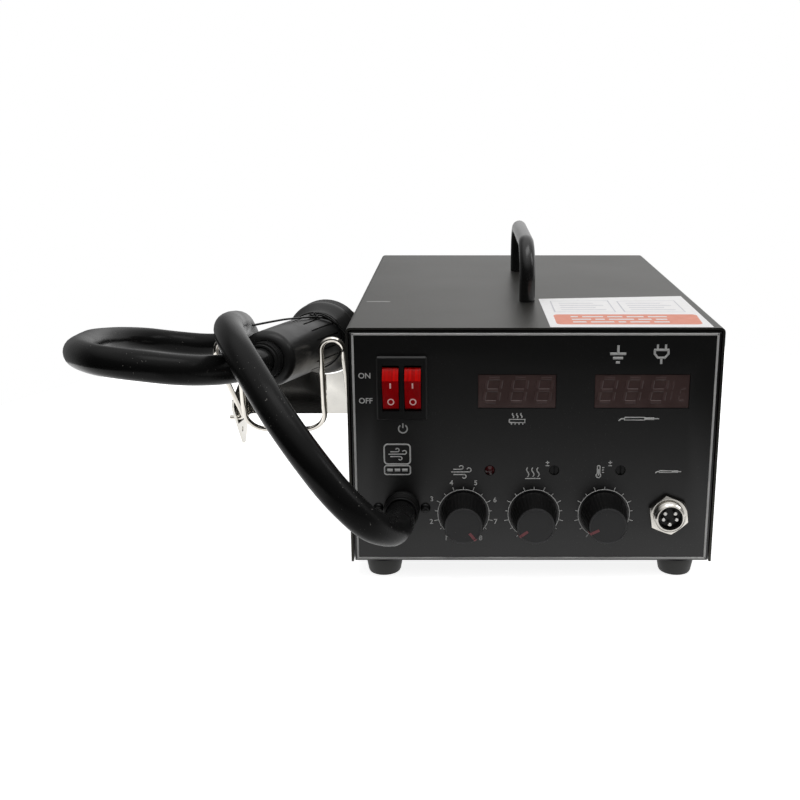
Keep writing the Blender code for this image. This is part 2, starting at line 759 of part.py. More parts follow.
def make_cover():
    """Top and both sides folded from one sheet."""
    path = rounded(
        [(-SIDE, FRONT, 0), (-SIDE, FRONT, BODY_HEIGHT), (SIDE, FRONT, BODY_HEIGHT), (SIDE, FRONT, 0)],
        COVER_BEND, 4
    )
    cover = strip("top_cover", path, (0, BODY_DEPTH, 0), SHEET, black_powder())
    holes = bmesh.new()
    for side in (-1, 1):
        for y in (-COVER_SCREW_Y, COVER_SCREW_Y):
            grow_rod(
                holes, (side * (SIDE - 0.003), y, COVER_SCREW_Z), (side * (SIDE + 0.002), y, COVER_SCREW_Z),
                SCREW_RADIUS + HOLE_FIT, 12
            )
        walls = (side * SIDE, side * COVER_INSIDE)
        for number in range(VENT_COUNT):
            y = SIDE_VENT_Y + (number - (VENT_COUNT - 1) / 2) * VENT_PITCH
            grow_box(
                holes,
                (min(walls) - 0.002, y - VENT_WIDTH / 2, SIDE_VENT_Z - VENT_HEIGHT / 2),
                (max(walls) + 0.002, y + VENT_WIDTH / 2, SIDE_VENT_Z + VENT_HEIGHT / 2)
            )
    for y in BRACKET_SCREW_YS:
        grow_rod(
            holes, (-SIDE - 0.002, y, BRACKET_SCREW_Z), (-COVER_INSIDE + 0.002, y, BRACKET_SCREW_Z),
            SCREW_RADIUS + HOLE_FIT, 12
        )
    for end in (-1, 1):
        y = end * HANDLE_SPAN / 2
        grow_rod(
            holes, (0, y, BODY_HEIGHT - SHEET - 0.002), (0, y, BODY_HEIGHT + 0.002),
            HANDLE_SCREW_RADIUS + HOLE_FIT, 12
        )
    cut(cover, solid("cover_holes", holes, helper=True))


def make_carry_handle():
    """Round bar bent into a flat-topped bow, screwed on from under the cover."""
    foot = BODY_HEIGHT + CLEAR
    top = BODY_HEIGHT + HANDLE_RISE
    half = HANDLE_SPAN / 2
    path = rounded([(0, -half, foot), (0, -half, top), (0, half, top), (0, half, foot)], HANDLE_BEND, 6)
    bar = tube("carry_handle", path, HANDLE_RADIUS, black_powder(), 4)
    bar = as_mesh(bar)
    bores = bmesh.new()
    for end, label in ((-1, "front"), (1, "rear")):
        y = end * half
        bore = HANDLE_SCREW_RADIUS + CLEAR
        grow_rod(bores, (0, y, foot - 0.002), (0, y, foot + HANDLE_SCREW_DEPTH + CLEAR), bore, 12)
        under = BODY_HEIGHT - SHEET - CLEAR
        turned(
            "handle_screw_" + label,
            [(0, foot + HANDLE_SCREW_DEPTH), (HANDLE_SCREW_RADIUS, foot + HANDLE_SCREW_DEPTH),
             (HANDLE_SCREW_RADIUS, under), (0.0040, under), (0.0034, under - 0.0024), (0, under - 0.0024)],
            steel(), (0, y, 0), steps=12
        )
    cut(bar, solid("handle_bores", bores, helper=True))
    bar.data.materials.append(black_powder())


def make_feet():
    """Rubber feet, each with a pushed-in stud that grips the floor's hole."""
    barb = FOOT_STUD_RADIUS + 0.0012
    profile = [
        (0, FLOOR + CLEAR + 0.0020), (FOOT_STUD_RADIUS, FLOOR + CLEAR + 0.0020), (barb, FLOOR + CLEAR),
        (FOOT_STUD_RADIUS, FLOOR + CLEAR), (FOOT_STUD_RADIUS, -CLEAR), (FOOT_TOP_RADIUS, -CLEAR),
        (FOOT_LOW_RADIUS, -FOOT_HEIGHT), (0.0040, -FOOT_HEIGHT), (0.0034, 0.002 - FOOT_HEIGHT),
        (0, 0.002 - FOOT_HEIGHT),
    ]
    names = ("foot_front_left", "foot_front_right", "foot_rear_left", "foot_rear_right")
    for name, (x, y) in zip(names, foot_places()):
        turned(name, profile, black_rubber(), (x, y, 0), steps=14)


def bolt_profile(grip, reach=0.0):
    """Pan-head screw with its nut: the head stands on height 0 and the nut lies under the grip."""
    tail = -grip - NUT_HEIGHT - 0.0010 - reach
    return [
        (0, SCREW_HEAD_HEIGHT), (SCREW_HEAD_RADIUS * 0.72, SCREW_HEAD_HEIGHT),
        (SCREW_HEAD_RADIUS, SCREW_HEAD_HEIGHT * 0.45), (SCREW_HEAD_RADIUS, 0), (SCREW_RADIUS, 0),
        (SCREW_RADIUS, -grip), (NUT_RADIUS, -grip), (NUT_RADIUS, -grip - NUT_HEIGHT),
        (SCREW_RADIUS, -grip - NUT_HEIGHT), (SCREW_RADIUS, tail), (0, tail),
    ]


def make_cover_screws():
    """Four screws that draw the cover's sides to the tray's side flanges."""
    grip = CLEAR + SHEET + SEAM + SHEET + CLEAR
    for side, label in ((-1, "left"), (1, "right")):
        for y, end in ((-COVER_SCREW_Y, "front"), (COVER_SCREW_Y, "rear")):
            turned(
                f"cover_screw_{end}_{label}", bolt_profile(grip), steel(),
                (side * (SIDE + CLEAR), y, COVER_SCREW_Z), (side, 0, 0), 8
            )


def make_switch():
    """Twin rocker switch: a snap-in housing with a rocker in each of its two wells."""
    body_back = FRONT + SWITCH_BODY_DEPTH
    half_width = SWITCH_BODY_WIDTH / 2
    half_height = SWITCH_BODY_HEIGHT / 2
    housing = box(
        "switch_bezel",
        (SWITCH_X - BEZEL_WIDTH / 2, FRONT - CLEAR - BEZEL_PROUD, SWITCH_Z - BEZEL_HEIGHT / 2),
        (SWITCH_X + BEZEL_WIDTH / 2, FRONT - CLEAR, SWITCH_Z + BEZEL_HEIGHT / 2), black_plastic(), 0.0008
    )
    shape = bmesh.new()
    grow_box(
        shape, (SWITCH_X - half_width, FRONT - CLEAR - 0.0005, SWITCH_Z - half_height),
        (SWITCH_X + half_width, body_back, SWITCH_Z + half_height)
    )
    join(housing, solid("switch_body", shape, helper=True))
    lugs = bmesh.new()
    wells = bmesh.new()
    well_back = FRONT + ROCKER_PIVOT_DEPTH + ROCKER_HUB_RADIUS + CLEAR
    well_half = ROCKER_RADIUS + CLEAR
    well_width = ROCKER_WIDTH / 2 + CLEAR
    for side in (-1, 1):
        x = SWITCH_X + side * ROCKER_PITCH / 2
        grow_box(
            wells, (x - well_width, FRONT - CLEAR + 0.0002, SWITCH_Z - well_half),
            (x + well_width, well_back, SWITCH_Z + well_half)
        )
        for z in (-0.0085, 0, 0.0085):
            grow_box(
                lugs, (x - LUG_WIDTH / 2, body_back - 0.001, SWITCH_Z + z - LUG_THICKNESS / 2),
                (x + LUG_WIDTH / 2, body_back + LUG_LENGTH, SWITCH_Z + z + LUG_THICKNESS / 2)
            )
    join(housing, solid("switch_lugs", lugs, helper=True))
    cut(housing, solid("switch_wells", wells, helper=True))
    mouths = bmesh.new()
    for side in (-1, 1):
        x = SWITCH_X + side * ROCKER_PITCH / 2
        grow_box(
            mouths, (x - well_width, FRONT - BEZEL_PROUD - 0.002, SWITCH_Z - SLOT_HEIGHT / 2),
            (x + well_width, FRONT + 0.002, SWITCH_Z + SLOT_HEIGHT / 2)
        )
    cut(housing, solid("switch_mouths", mouths, helper=True))
    axle = bmesh.new()
    pivot_y = FRONT + ROCKER_PIVOT_DEPTH
    grow_rod(
        axle, (SWITCH_X - half_width - 0.002, pivot_y, SWITCH_Z),
        (SWITCH_X + half_width + 0.002, pivot_y, SWITCH_Z),
        ROCKER_PIN_RADIUS + CLEAR, 12
    )
    cut(housing, solid("switch_axle_hole", axle, helper=True))

    crest = math.degrees(math.acos(ROCKER_FLAT / ROCKER_RADIUS))
    outline = arc(0, 0, ROCKER_RADIUS, ROCKER_HALF_ANGLE, crest, 3)
    outline += arc(0, 0, ROCKER_RADIUS, -crest, -ROCKER_HALF_ANGLE, 3)
    outline += arc(0, 0, ROCKER_HUB_RADIUS, -ROCKER_HALF_ANGLE - 40, -360 + ROCKER_HALF_ANGLE + 40, 6)
    for side, name in ((-1, "rocker_left"), (1, "rocker_right")):
        pivot = (SWITCH_X + side * ROCKER_PITCH / 2, pivot_y, SWITCH_Z)
        rocker = add(name, plate_data(name, [outline], ROCKER_WIDTH), red_plastic(), pivot)
        rocker.rotation_euler = (math.pi / 2, 0, -math.pi / 2)
        rocker = as_mesh(rocker)
        rocker.data.materials.append(red_plastic())
        pin = bmesh.new()
        reach = ROCKER_WIDTH / 2 + ROCKER_PIN_REACH
        grow_rod(
            pin, Vector(pivot) - RIGHTWARD * reach, Vector(pivot) + RIGHTWARD * reach, ROCKER_PIN_RADIUS, 12
        )
        join(rocker, solid(name + "_pin", pin, helper=True))
        tilt_rest(rocker, ROCKER_TILT)


def tilt_rest(item, degrees):
    """Turn about the object's own origin, top edge toward the viewer."""
    turn = Quaternion((1, 0, 0), math.radians(degrees))
    item.rotation_euler = (turn @ item.rotation_euler.to_quaternion()).to_euler()


def make_windows():
    """Acrylic windows: the front fills its cut-out and a wider lip lies behind the panel."""
    glass = finish("smoked_acrylic", (0.020, 0.012, 0.012), 0.10)
    low = WINDOW_Z - WINDOW_HEIGHT / 2
    high = WINDOW_Z + WINDOW_HEIGHT / 2
    lip_front = PANEL_BACK + CLEAR
    lip_back = lip_front + WINDOW_LIP_THICKNESS
    rows = (
        ("left", WINDOW_LEFT_X, WINDOW_LEFT_WIDTH, DIGITS_LEFT_WIDTH),
        ("right", WINDOW_RIGHT_X, WINDOW_RIGHT_WIDTH, DIGITS_RIGHT_WIDTH),
    )
    for side, x, width, digits_width in rows:
        left = x - width / 2
        right = x + width / 2
        window = box(
            "display_window_" + side, (left - WINDOW_LIP, lip_front, low - WINDOW_LIP),
            (right + WINDOW_LIP, lip_back, high + WINDOW_LIP), glass
        )
        front = bmesh.new()
        grow_box(
            front, (left + CLEAR, FRONT + CLEAR, low + CLEAR),
            (right - CLEAR, lip_back - 0.0004, high - CLEAR)
        )
        join(window, solid("window_front_" + side, front, helper=True))
        box(
            "led_digits_" + side, (x - digits_width / 2, DISPLAY_FACE, WINDOW_Z - DIGITS_HEIGHT / 2),
            (x + digits_width / 2, DISPLAY_FACE + DIGITS_DEPTH, WINDOW_Z + DIGITS_HEIGHT / 2),
            finish("display_grey", (0.10, 0.10, 0.10), 0.5), 0.0005
        )


def make_display_board():
    """Circuit board behind the panel, on four posts, with the trimmers' housings on its face."""
    back = DISPLAY_BOARD_FACE + BOARD_THICKNESS
    board = box(
        "display_board", (DISPLAY_BOARD_LEFT, DISPLAY_BOARD_FACE, DISPLAY_BOARD_LOW),
        (DISPLAY_BOARD_RIGHT, back, DISPLAY_BOARD_TOP), green_board()
    )
    parts = bmesh.new()
    inset = DISPLAY_POST_RADIUS + 0.001
    for x in (DISPLAY_BOARD_LEFT + inset, DISPLAY_BOARD_RIGHT - inset):
        for z in (DISPLAY_BOARD_LOW + inset, DISPLAY_BOARD_TOP - inset):
            grow_rod(parts, (x, PANEL_BACK + CLEAR, z), (x, back - 0.0005, z), DISPLAY_POST_RADIUS, 8)
    half = TRIMMER_HOUSING / 2
    for x in TRIMMER_XS:
        grow_box(
            parts, (x - half, PANEL_BACK + 0.001, TRIMMER_Z - half),
            (x + half, back - 0.0005, TRIMMER_Z + half)
        )
    join(board, solid("display_board_parts", parts, helper=True))
    wells = bmesh.new()
    for x in TRIMMER_XS:
        grow_rod(
            wells, (x, FRONT, TRIMMER_Z), (x, PANEL_BACK + 0.004, TRIMMER_Z), TRIMMER_RADIUS + CLEAR, 12
        )
    cut(board, solid("trimmer_wells", wells, helper=True))


def make_trimmers():
    """Screwdriver-slotted rotors seen through the two calibration holes."""
    top = -TRIMMER_SINK
    low = -(SHEET + 0.004 - CLEAR)
    for side, x in zip(("left", "right"), TRIMMER_XS):
        name = "trimmer_rotor_" + side
        rotor = turned(
            name, [(0, top), (TRIMMER_RADIUS, top), (TRIMMER_RADIUS, low), (0, low)],
            finish("trimmer_white", (0.62, 0.60, 0.56), 0.5), (x, FRONT, TRIMMER_Z), TOWARD_VIEWER, 12
        )
        slot = bmesh.new()
        grow_box(
            slot, (x - 0.0004, FRONT + TRIMMER_SINK - 0.001, TRIMMER_Z - TRIMMER_RADIUS),
            (x + 0.0004, FRONT + TRIMMER_SINK + 0.0009, TRIMMER_Z + TRIMMER_RADIUS)
        )
        cut(rotor, solid(name + "_slot", slot, helper=True))


def make_lamp():
    """Round lamp in its panel hole, with a stem back to the board."""
    dome = [(
        LAMP_RADIUS * math.sin(math.radians(a)), LAMP_PROUD - LAMP_RADIUS * (1 - math.cos(math.radians(a)))
    )
            for a in (0, 30, 60, 90)]
    rim = -SHEET - CLEAR
    profile = [(0, LAMP_PROUD)] + dome[1:] + [
        (LAMP_RADIUS, rim), (LAMP_RADIUS + 0.0005, rim), (LAMP_RADIUS + 0.0005, rim - 0.001),
        (LAMP_RADIUS * 0.4, rim - 0.001), (LAMP_RADIUS * 0.4, FRONT - DISPLAY_BOARD_FACE + CLEAR),
        (0, FRONT - DISPLAY_BOARD_FACE + CLEAR),
    ]
    turned(
        "heater_lamp", profile, finish("lamp_red", (0.16, 0.004, 0.006), 0.2), (LAMP_X, FRONT, LAMP_Z),
        TOWARD_VIEWER, 12
    )


def loft(bm, rings):
    """Closed skin over rings of equal point counts, listed bottom to top."""
    loops = [[bm.verts.new(point) for point in ring] for ring in rings]
    for lower, upper in zip(loops, loops[1:]):
        for number, vert in enumerate(lower):
            after = (number + 1) % len(lower)
            bm.faces.new((vert, lower[after], upper[after], upper[number]))
    bm.faces.new(list(reversed(loops[0])))
    bm.faces.new(loops[-1])


def knob_ring(radius, height, flute=0.0):
    """Circle of points where every second one is drawn inward by the flute's depth."""
    points = []
    for number in range(2 * KNOB_FLUTES):
        angle = math.pi * number / KNOB_FLUTES
        reach = radius - flute * (number % 2)
        points.append((reach * math.cos(angle), reach * math.sin(angle), height))
    return points


def make_knobs():
    """Fluted cone knobs on the shafts of the three potentiometers."""
    for label, x, angle in zip(("air", "heat", "temperature"), KNOB_XS, KNOB_ANGLES):
        place = Vector((x, FRONT, KNOB_Z))
        turn = Quaternion((1, 0, 0), math.pi / 2) @ Quaternion((0, 0, 1), -math.radians(angle))
        low = KNOB_GAP
        top = KNOB_GAP + KNOB_HEIGHT
        bm = bmesh.new()
        loft(bm, [
            knob_ring(KNOB_BASE_RADIUS, low, KNOB_FLUTE_DEPTH),
            knob_ring(KNOB_FACE_RADIUS + 0.0003, top - 0.0012, KNOB_FLUTE_DEPTH),
            knob_ring(KNOB_FACE_RADIUS - 0.0004, top),
        ])
        knob = add("knob_" + label, mesh_from(bm, "knob_" + label), black_plastic(), place)
        knob.rotation_euler = turn.to_euler()
        hollow = turned(
            f"knob_{label}_bore",
            [(0, POT_SHAFT_PROUD + CLEAR), (POT_SHAFT_RADIUS + CLEAR, POT_SHAFT_PROUD + CLEAR),
             (POT_SHAFT_RADIUS + CLEAR, low + POT_NUT_HEIGHT + 0.0030),
             (POT_NUT_RADIUS + 0.0008, low + POT_NUT_HEIGHT + 0.0030),
             (POT_NUT_RADIUS + 0.0008, low - 0.001), (0, low - 0.001)],
            None, place, TOWARD_VIEWER, 12, helper=True
        )
        cut(knob, hollow)
        groove = bmesh.new()
        grow_box(
            groove, (-KNOB_POINTER / 2, 0.0045, top - 0.0003),
            (KNOB_POINTER / 2, KNOB_FACE_RADIUS + 0.001, top + 0.001)
        )
        pointer = solid(f"knob_{label}_pointer", groove, helper=True)
        pointer.location = place
        pointer.rotation_euler = turn.to_euler()
        cut(knob, pointer)

        neck = POT_NECK_LENGTH - SHEET
        bore = POT_SHAFT_RADIUS + CLEAR
        can = -SHEET - CLEAR
        turned(
            "pot_" + label,
            [(0, can - 0.004), (bore, can - 0.004), (bore, neck), (POT_NECK_RADIUS, neck),
             (POT_NECK_RADIUS, CLEAR + POT_NUT_HEIGHT), (POT_NUT_RADIUS, CLEAR + POT_NUT_HEIGHT),
             (POT_NUT_RADIUS, CLEAR),
             (POT_NECK_RADIUS, CLEAR), (POT_NECK_RADIUS, can), (POT_RADIUS, can),
             (POT_RADIUS, can - POT_DEPTH),
             (0, can - POT_DEPTH)],
            steel(), place, TOWARD_VIEWER, 10
        )
        turned(
            "pot_shaft_" + label,
            [(0, POT_SHAFT_PROUD), (POT_SHAFT_RADIUS, POT_SHAFT_PROUD),
             (POT_SHAFT_RADIUS, can - 0.004 + CLEAR),
             (0, can - 0.004 + CLEAR)],
            steel(), place, TOWARD_VIEWER, 12
        )


def make_iron_socket():
    """Round five-pin socket: flanged shell, hexagon nut on the panel and insert with pins."""
    place = Vector((SOCKET_X, FRONT, SOCKET_Z))
    flange = -SHEET - CLEAR
    turned(
        "iron_socket_shell",
        [(SOCKET_BORE, SOCKET_PROUD), (SOCKET_RADIUS, SOCKET_PROUD), (SOCKET_RADIUS, flange),
         (SOCKET_FLANGE_RADIUS, flange), (SOCKET_FLANGE_RADIUS, flange - SOCKET_FLANGE_THICKNESS),
         (SOCKET_RADIUS, flange - SOCKET_FLANGE_THICKNESS), (SOCKET_RADIUS, -SOCKET_DEPTH),
         (SOCKET_BORE, -SOCKET_DEPTH)],
        bright_metal(), place, TOWARD_VIEWER, 24, ring=True
    )
    bm = bmesh.new()
    corner = SOCKET_NUT_FLATS / 2 / math.cos(math.pi / 6)
    hexagon = grow_rod(bm, (0, 0, CLEAR), (0, 0, CLEAR + SOCKET_NUT_HEIGHT), corner, 6)
    turn = Quaternion((0, 0, 1), math.pi / 6).to_matrix()
    bmesh.ops.rotate(bm, cent=(0, 0, 0), matrix=turn, verts=hexagon)
    nut = add("iron_socket_nut", mesh_from(bm, "iron_socket_nut"), bright_metal(), place, TOWARD_VIEWER)
    hole = bmesh.new()
    grow_rod(hole, place + TOWARD_VIEWER * 0.01, place - TOWARD_VIEWER * 0.01, SOCKET_RADIUS + CLEAR, 24)
    cut(nut, solid("iron_nut_hole", hole, helper=True))
    face = SOCKET_PROUD - SOCKET_FACE_SINK
    radius = SOCKET_BORE - CLEAR
    insert = turned(
        "iron_socket_insert",
        [(0, face), (radius, face), (radius, -SOCKET_DEPTH - 0.001), (0, -SOCKET_DEPTH - 0.001)],
        black_plastic(), place, TOWARD_VIEWER, 16
    )
    pins = bmesh.new()
    for number in range(SOCKET_PIN_COUNT):
        angle = math.radians(90 + 45 * (number - 2) + 180)
        x = SOCKET_X + SOCKET_PIN_CIRCLE * math.cos(angle)
        z = SOCKET_Z + SOCKET_PIN_CIRCLE * math.sin(angle)
        grow_rod(
            pins, (x, FRONT - face - 0.0009, z), (x, FRONT + SOCKET_DEPTH + 0.005, z), SOCKET_PIN_RADIUS, 6
        )
    join(insert, solid("iron_socket_pins", pins, helper=True))


def make_gland():
    """Hose outlet: a sleeve through the panel on a flange that two screws hold from the front."""
    place = Vector((GLAND_X, FRONT, GLAND_Z))
    flange_front = PANEL_BACK + CLEAR
    flange_back = flange_front + GLAND_FLANGE_THICKNESS
    bore = HOSE_RADIUS + HOSE_FIT
    gland = turned(
        "hose_gland",
        [(0, GLAND_PROUD), (GLAND_RADIUS - 0.0004, GLAND_PROUD), (GLAND_RADIUS, GLAND_PROUD - 0.0006),
         (GLAND_RADIUS, -GLAND_DEPTH), (0, -GLAND_DEPTH)],
        black_plastic(), place, TOWARD_VIEWER, 20
    )
    half_width = GLAND_SCREW_SPACING / 2 + 0.0045
    plate = bmesh.new()
    grow_box(
        plate, (GLAND_X - half_width, flange_front, GLAND_Z - GLAND_FLANGE_HEIGHT / 2),
        (GLAND_X + half_width, flange_back, GLAND_Z + GLAND_FLANGE_HEIGHT / 2)
    )
    join(gland, solid("gland_flange", plate, helper=True))
    cut(gland, turned(
        "gland_bore",
        [(0, GLAND_PROUD + 0.002), (bore, GLAND_PROUD + 0.002), (bore, -0.0060), (0.0025, -0.0060),
         (0.0025, -GLAND_DEPTH - 0.002), (0, -GLAND_DEPTH - 0.002)],
        None, place, TOWARD_VIEWER, 20, helper=True
    ))
    holes = bmesh.new()
    grip = CLEAR + SHEET + CLEAR + GLAND_FLANGE_THICKNESS + CLEAR
    for side, label in ((-1, "left"), (1, "right")):
        x = GLAND_X + side * GLAND_SCREW_SPACING / 2
        grow_rod(holes, (x, FRONT, GLAND_Z), (x, flange_back + 0.002, GLAND_Z), SCREW_RADIUS + CLEAR, 12)
        turned(
            "gland_screw_" + label, bolt_profile(grip),
            finish("black_screw", (0.03, 0.03, 0.03), 0.35, 0.8),
            (x, FRONT - CLEAR, GLAND_Z), TOWARD_VIEWER, 8
        )
    cut(gland, solid("gland_screw_holes", holes, helper=True))


def make_mains_inlet():
    """Appliance inlet in the rear panel with three blades and a pull-out fuse drawer above them."""
    flange_in = REAR + CLEAR
    flange_out = flange_in + INLET_FLANGE_THICKNESS
    inlet = box(
        "mains_inlet", (INLET_X - INLET_FLANGE_WIDTH / 2, flange_in, INLET_Z - INLET_FLANGE_HEIGHT / 2),
        (INLET_X + INLET_FLANGE_WIDTH / 2, flange_out, INLET_Z + INLET_FLANGE_HEIGHT / 2), black_plastic(),
        0.0006
    )
    shape = bmesh.new()
    grow_box(
        shape, (INLET_X - INLET_WIDTH / 2, REAR - INLET_DEPTH, INLET_Z - INLET_HEIGHT / 2),
        (INLET_X + INLET_WIDTH / 2, flange_in + 0.001, INLET_Z + INLET_HEIGHT / 2)
    )
    join(inlet, solid("inlet_body", shape, helper=True))
    mouth_z = INLET_Z - INLET_MOUTH_DROP
    drawer_z = INLET_Z + DRAWER_RISE
    wells = bmesh.new()
    grow_box(
        wells,
        (INLET_X - INLET_MOUTH_WIDTH / 2, flange_out - INLET_MOUTH_DEPTH, mouth_z - INLET_MOUTH_HEIGHT / 2),
        (INLET_X + INLET_MOUTH_WIDTH / 2, flange_out + 0.002, mouth_z + INLET_MOUTH_HEIGHT / 2)
    )
    grow_box(
        wells,
        (INLET_X - DRAWER_WIDTH / 2 - CLEAR, flange_out - DRAWER_LENGTH - CLEAR,
         drawer_z - DRAWER_HEIGHT / 2 - CLEAR),
        (INLET_X + DRAWER_WIDTH / 2 + CLEAR, flange_out + 0.002, drawer_z + DRAWER_HEIGHT / 2 + CLEAR)
    )
    cut(inlet, solid("inlet_wells", wells, helper=True))
    blades = bmesh.new()
    well_floor = flange_out - INLET_MOUTH_DEPTH
    for x, z in ((-0.007, -0.002), (0, 0.002), (0.007, -0.002)):
        grow_box(
            blades,
            (INLET_X + x - INLET_PIN_WIDTH / 2, well_floor - 0.001, mouth_z + z - INLET_PIN_HEIGHT / 2),
            (INLET_X + x + INLET_PIN_WIDTH / 2, well_floor + INLET_PIN_LENGTH,
             mouth_z + z + INLET_PIN_HEIGHT / 2)
        )
    join(inlet, solid("inlet_blades", blades, helper=True))
    drawer = box(
        "fuse_drawer",
        (INLET_X - DRAWER_WIDTH / 2, flange_out - DRAWER_LENGTH, drawer_z - DRAWER_HEIGHT / 2),
        (INLET_X + DRAWER_WIDTH / 2, flange_out + DRAWER_LIP, drawer_z + DRAWER_HEIGHT / 2), black_plastic()
    )
    trough = bmesh.new()
    grow_box(
        trough, (INLET_X - 0.003, flange_out - DRAWER_LENGTH - 0.001, drawer_z - 0.003),
        (INLET_X + 0.003, flange_out - 0.003, drawer_z + DRAWER_HEIGHT)
    )
    cut(drawer, solid("fuse_trough", trough, helper=True))


def make_transformer():
    """Laminated core with two windows around the coil on its middle limb."""
    half_w = CORE_WIDTH / 2
    half_h = CORE_HEIGHT / 2
    limb = CORE_LIMB / 2
    reach = half_h - CORE_YOKE
    outline = [(-half_w, -half_h), (half_w, -half_h), (half_w, half_h), (-half_w, half_h)]
    holes = []
    for side in (-1, 1):
        inner = side * limb
        outer = side * (half_w - CORE_YOKE)
        holes.append(
            [(inner, -reach), (outer, -reach), (outer, reach), (inner, reach)]
        )
    middle = (CORE_X, CORE_Y, SEAT + half_h)
    core = add(
        "transformer_core", plate_data("transformer_core", [outline] + holes, CORE_DEPTH),
        finish("core_steel", (0.20, 0.20, 0.21), 0.5, 0.8), middle
    )
    core.rotation_euler = (math.pi / 2, 0, 0)
    inner_x = limb + CLEAR
    inner_y = CORE_DEPTH / 2 + CLEAR
    wall = WINDING_WALL
    hole = [(-inner_x, -inner_y), (inner_x, -inner_y), (inner_x, inner_y), (-inner_x, inner_y)]
    skin = []
    for corner_x, corner_y, start in ((1, 1, 0), (-1, 1, 90), (-1, -1, 180), (1, -1, 270)):
        skin += arc(
            corner_x * (inner_x + wall / 2), corner_y * (inner_y + wall / 2), wall / 2, start, start + 90, 3
        )
    add(
        "transformer_winding",
        plate_data("transformer_winding", [skin, hole], CORE_HEIGHT - 2 * CORE_YOKE - 2 * CLEAR),
        finish("winding_tape", (0.35, 0.22, 0.05), 0.5), middle
    )


def make_pump():
    """Linear air pump: a coil swings the magnet arm, which works the diaphragm chamber."""
    base_low = SEAT + PUMP_FOOT_HEIGHT
    base_top = base_low + PUMP_BASE
    pump = box(
        "pump_body", (PUMP_X - PUMP_WIDTH / 2, PUMP_Y - PUMP_LENGTH / 2, base_low),
        (PUMP_X + PUMP_WIDTH / 2, PUMP_Y + PUMP_LENGTH / 2, base_top),
        finish("pump_casting", (0.45, 0.45, 0.46), 0.5, 0.7)
    )
    shapes = bmesh.new()
    for x in (-1, 1):
        for y in (-1, 1):
            inset_x = PUMP_WIDTH / 2 - PUMP_FOOT_INSET
            inset_y = PUMP_LENGTH / 2 - PUMP_FOOT_INSET
            foot = Vector((PUMP_X + x * inset_x, PUMP_Y + y * inset_y, SEAT))
            grow_rod(shapes, foot, foot + UPWARD * (PUMP_FOOT_HEIGHT + 0.001), PUMP_FOOT_RADIUS, 10)
    coil_y = PUMP_Y + COIL_Y
    grow_box(
        shapes, (PUMP_X, coil_y - COIL_SIZE.y / 2, base_top - 0.001),
        (PUMP_X + COIL_SIZE.x, coil_y + COIL_SIZE.y / 2, base_top + COIL_SIZE.z)
    )
    chamber = Vector((PUMP_X + CHAMBER_X, PUMP_Y + CHAMBER_Y, base_top + CHAMBER_RADIUS - 0.001))
    grow_rod(shapes, chamber, chamber + LEFTWARD * CHAMBER_LENGTH, CHAMBER_RADIUS, 16)
    post = Vector((PUMP_X + ARM_POST_X, PUMP_Y + ARM_POST_Y, base_top - 0.001))
    arm_low = base_top + CHAMBER_RADIUS - ARM_HEIGHT / 2
    arm_top = arm_low + ARM_HEIGHT
    grow_rod(shapes, post, (post.x, post.y, arm_low - CLEAR), ARM_POST_RADIUS, 10)
    join(pump, solid("pump_shapes", shapes, helper=True))
    pins = bmesh.new()
    grow_rod(
        pins, (post.x, post.y, arm_low - 0.002), (post.x, post.y, arm_top + 0.002), ARM_PIVOT_RADIUS, 10
    )
    grow_rod(
        pins, chamber + LEFTWARD * (CHAMBER_LENGTH - 0.001),
        chamber + LEFTWARD * (CHAMBER_LENGTH + NIPPLE_LENGTH), NIPPLE_RADIUS, 10
    )
    join(pump, solid("pump_pins", pins, helper=True))

    arm_mesh = bmesh.new()
    half = ARM_THICKNESS / 2
    grow_box(
        arm_mesh, (post.x - half, post.y + 0.002, arm_low),
        (post.x + half, coil_y + MAGNET_SIZE / 2, arm_top)
    )
    arm = solid("pump_arm", arm_mesh, steel(), (post.x, post.y, (arm_low + arm_top) / 2))
    hub = bmesh.new()
    grow_rod(hub, (post.x, post.y, arm_low), (post.x, post.y, arm_top), ARM_HUB_RADIUS, 12)
    grow_box(
        hub, (post.x + half - 0.0005, coil_y - MAGNET_SIZE / 2, arm_low + 0.002),
        (PUMP_X - 0.002, coil_y + MAGNET_SIZE / 2, arm_top - 0.002)
    )
    join(arm, solid("arm_hub", hub, helper=True))
    eye = bmesh.new()
    grow_rod(
        eye, (post.x, post.y, arm_low - 0.002), (post.x, post.y, arm_top + 0.002), ARM_PIVOT_RADIUS + CLEAR,
        12
    )
    cut(arm, solid("arm_eye", eye, helper=True))
    return chamber + LEFTWARD * (CHAMBER_LENGTH + NIPPLE_LENGTH + CLEAR)


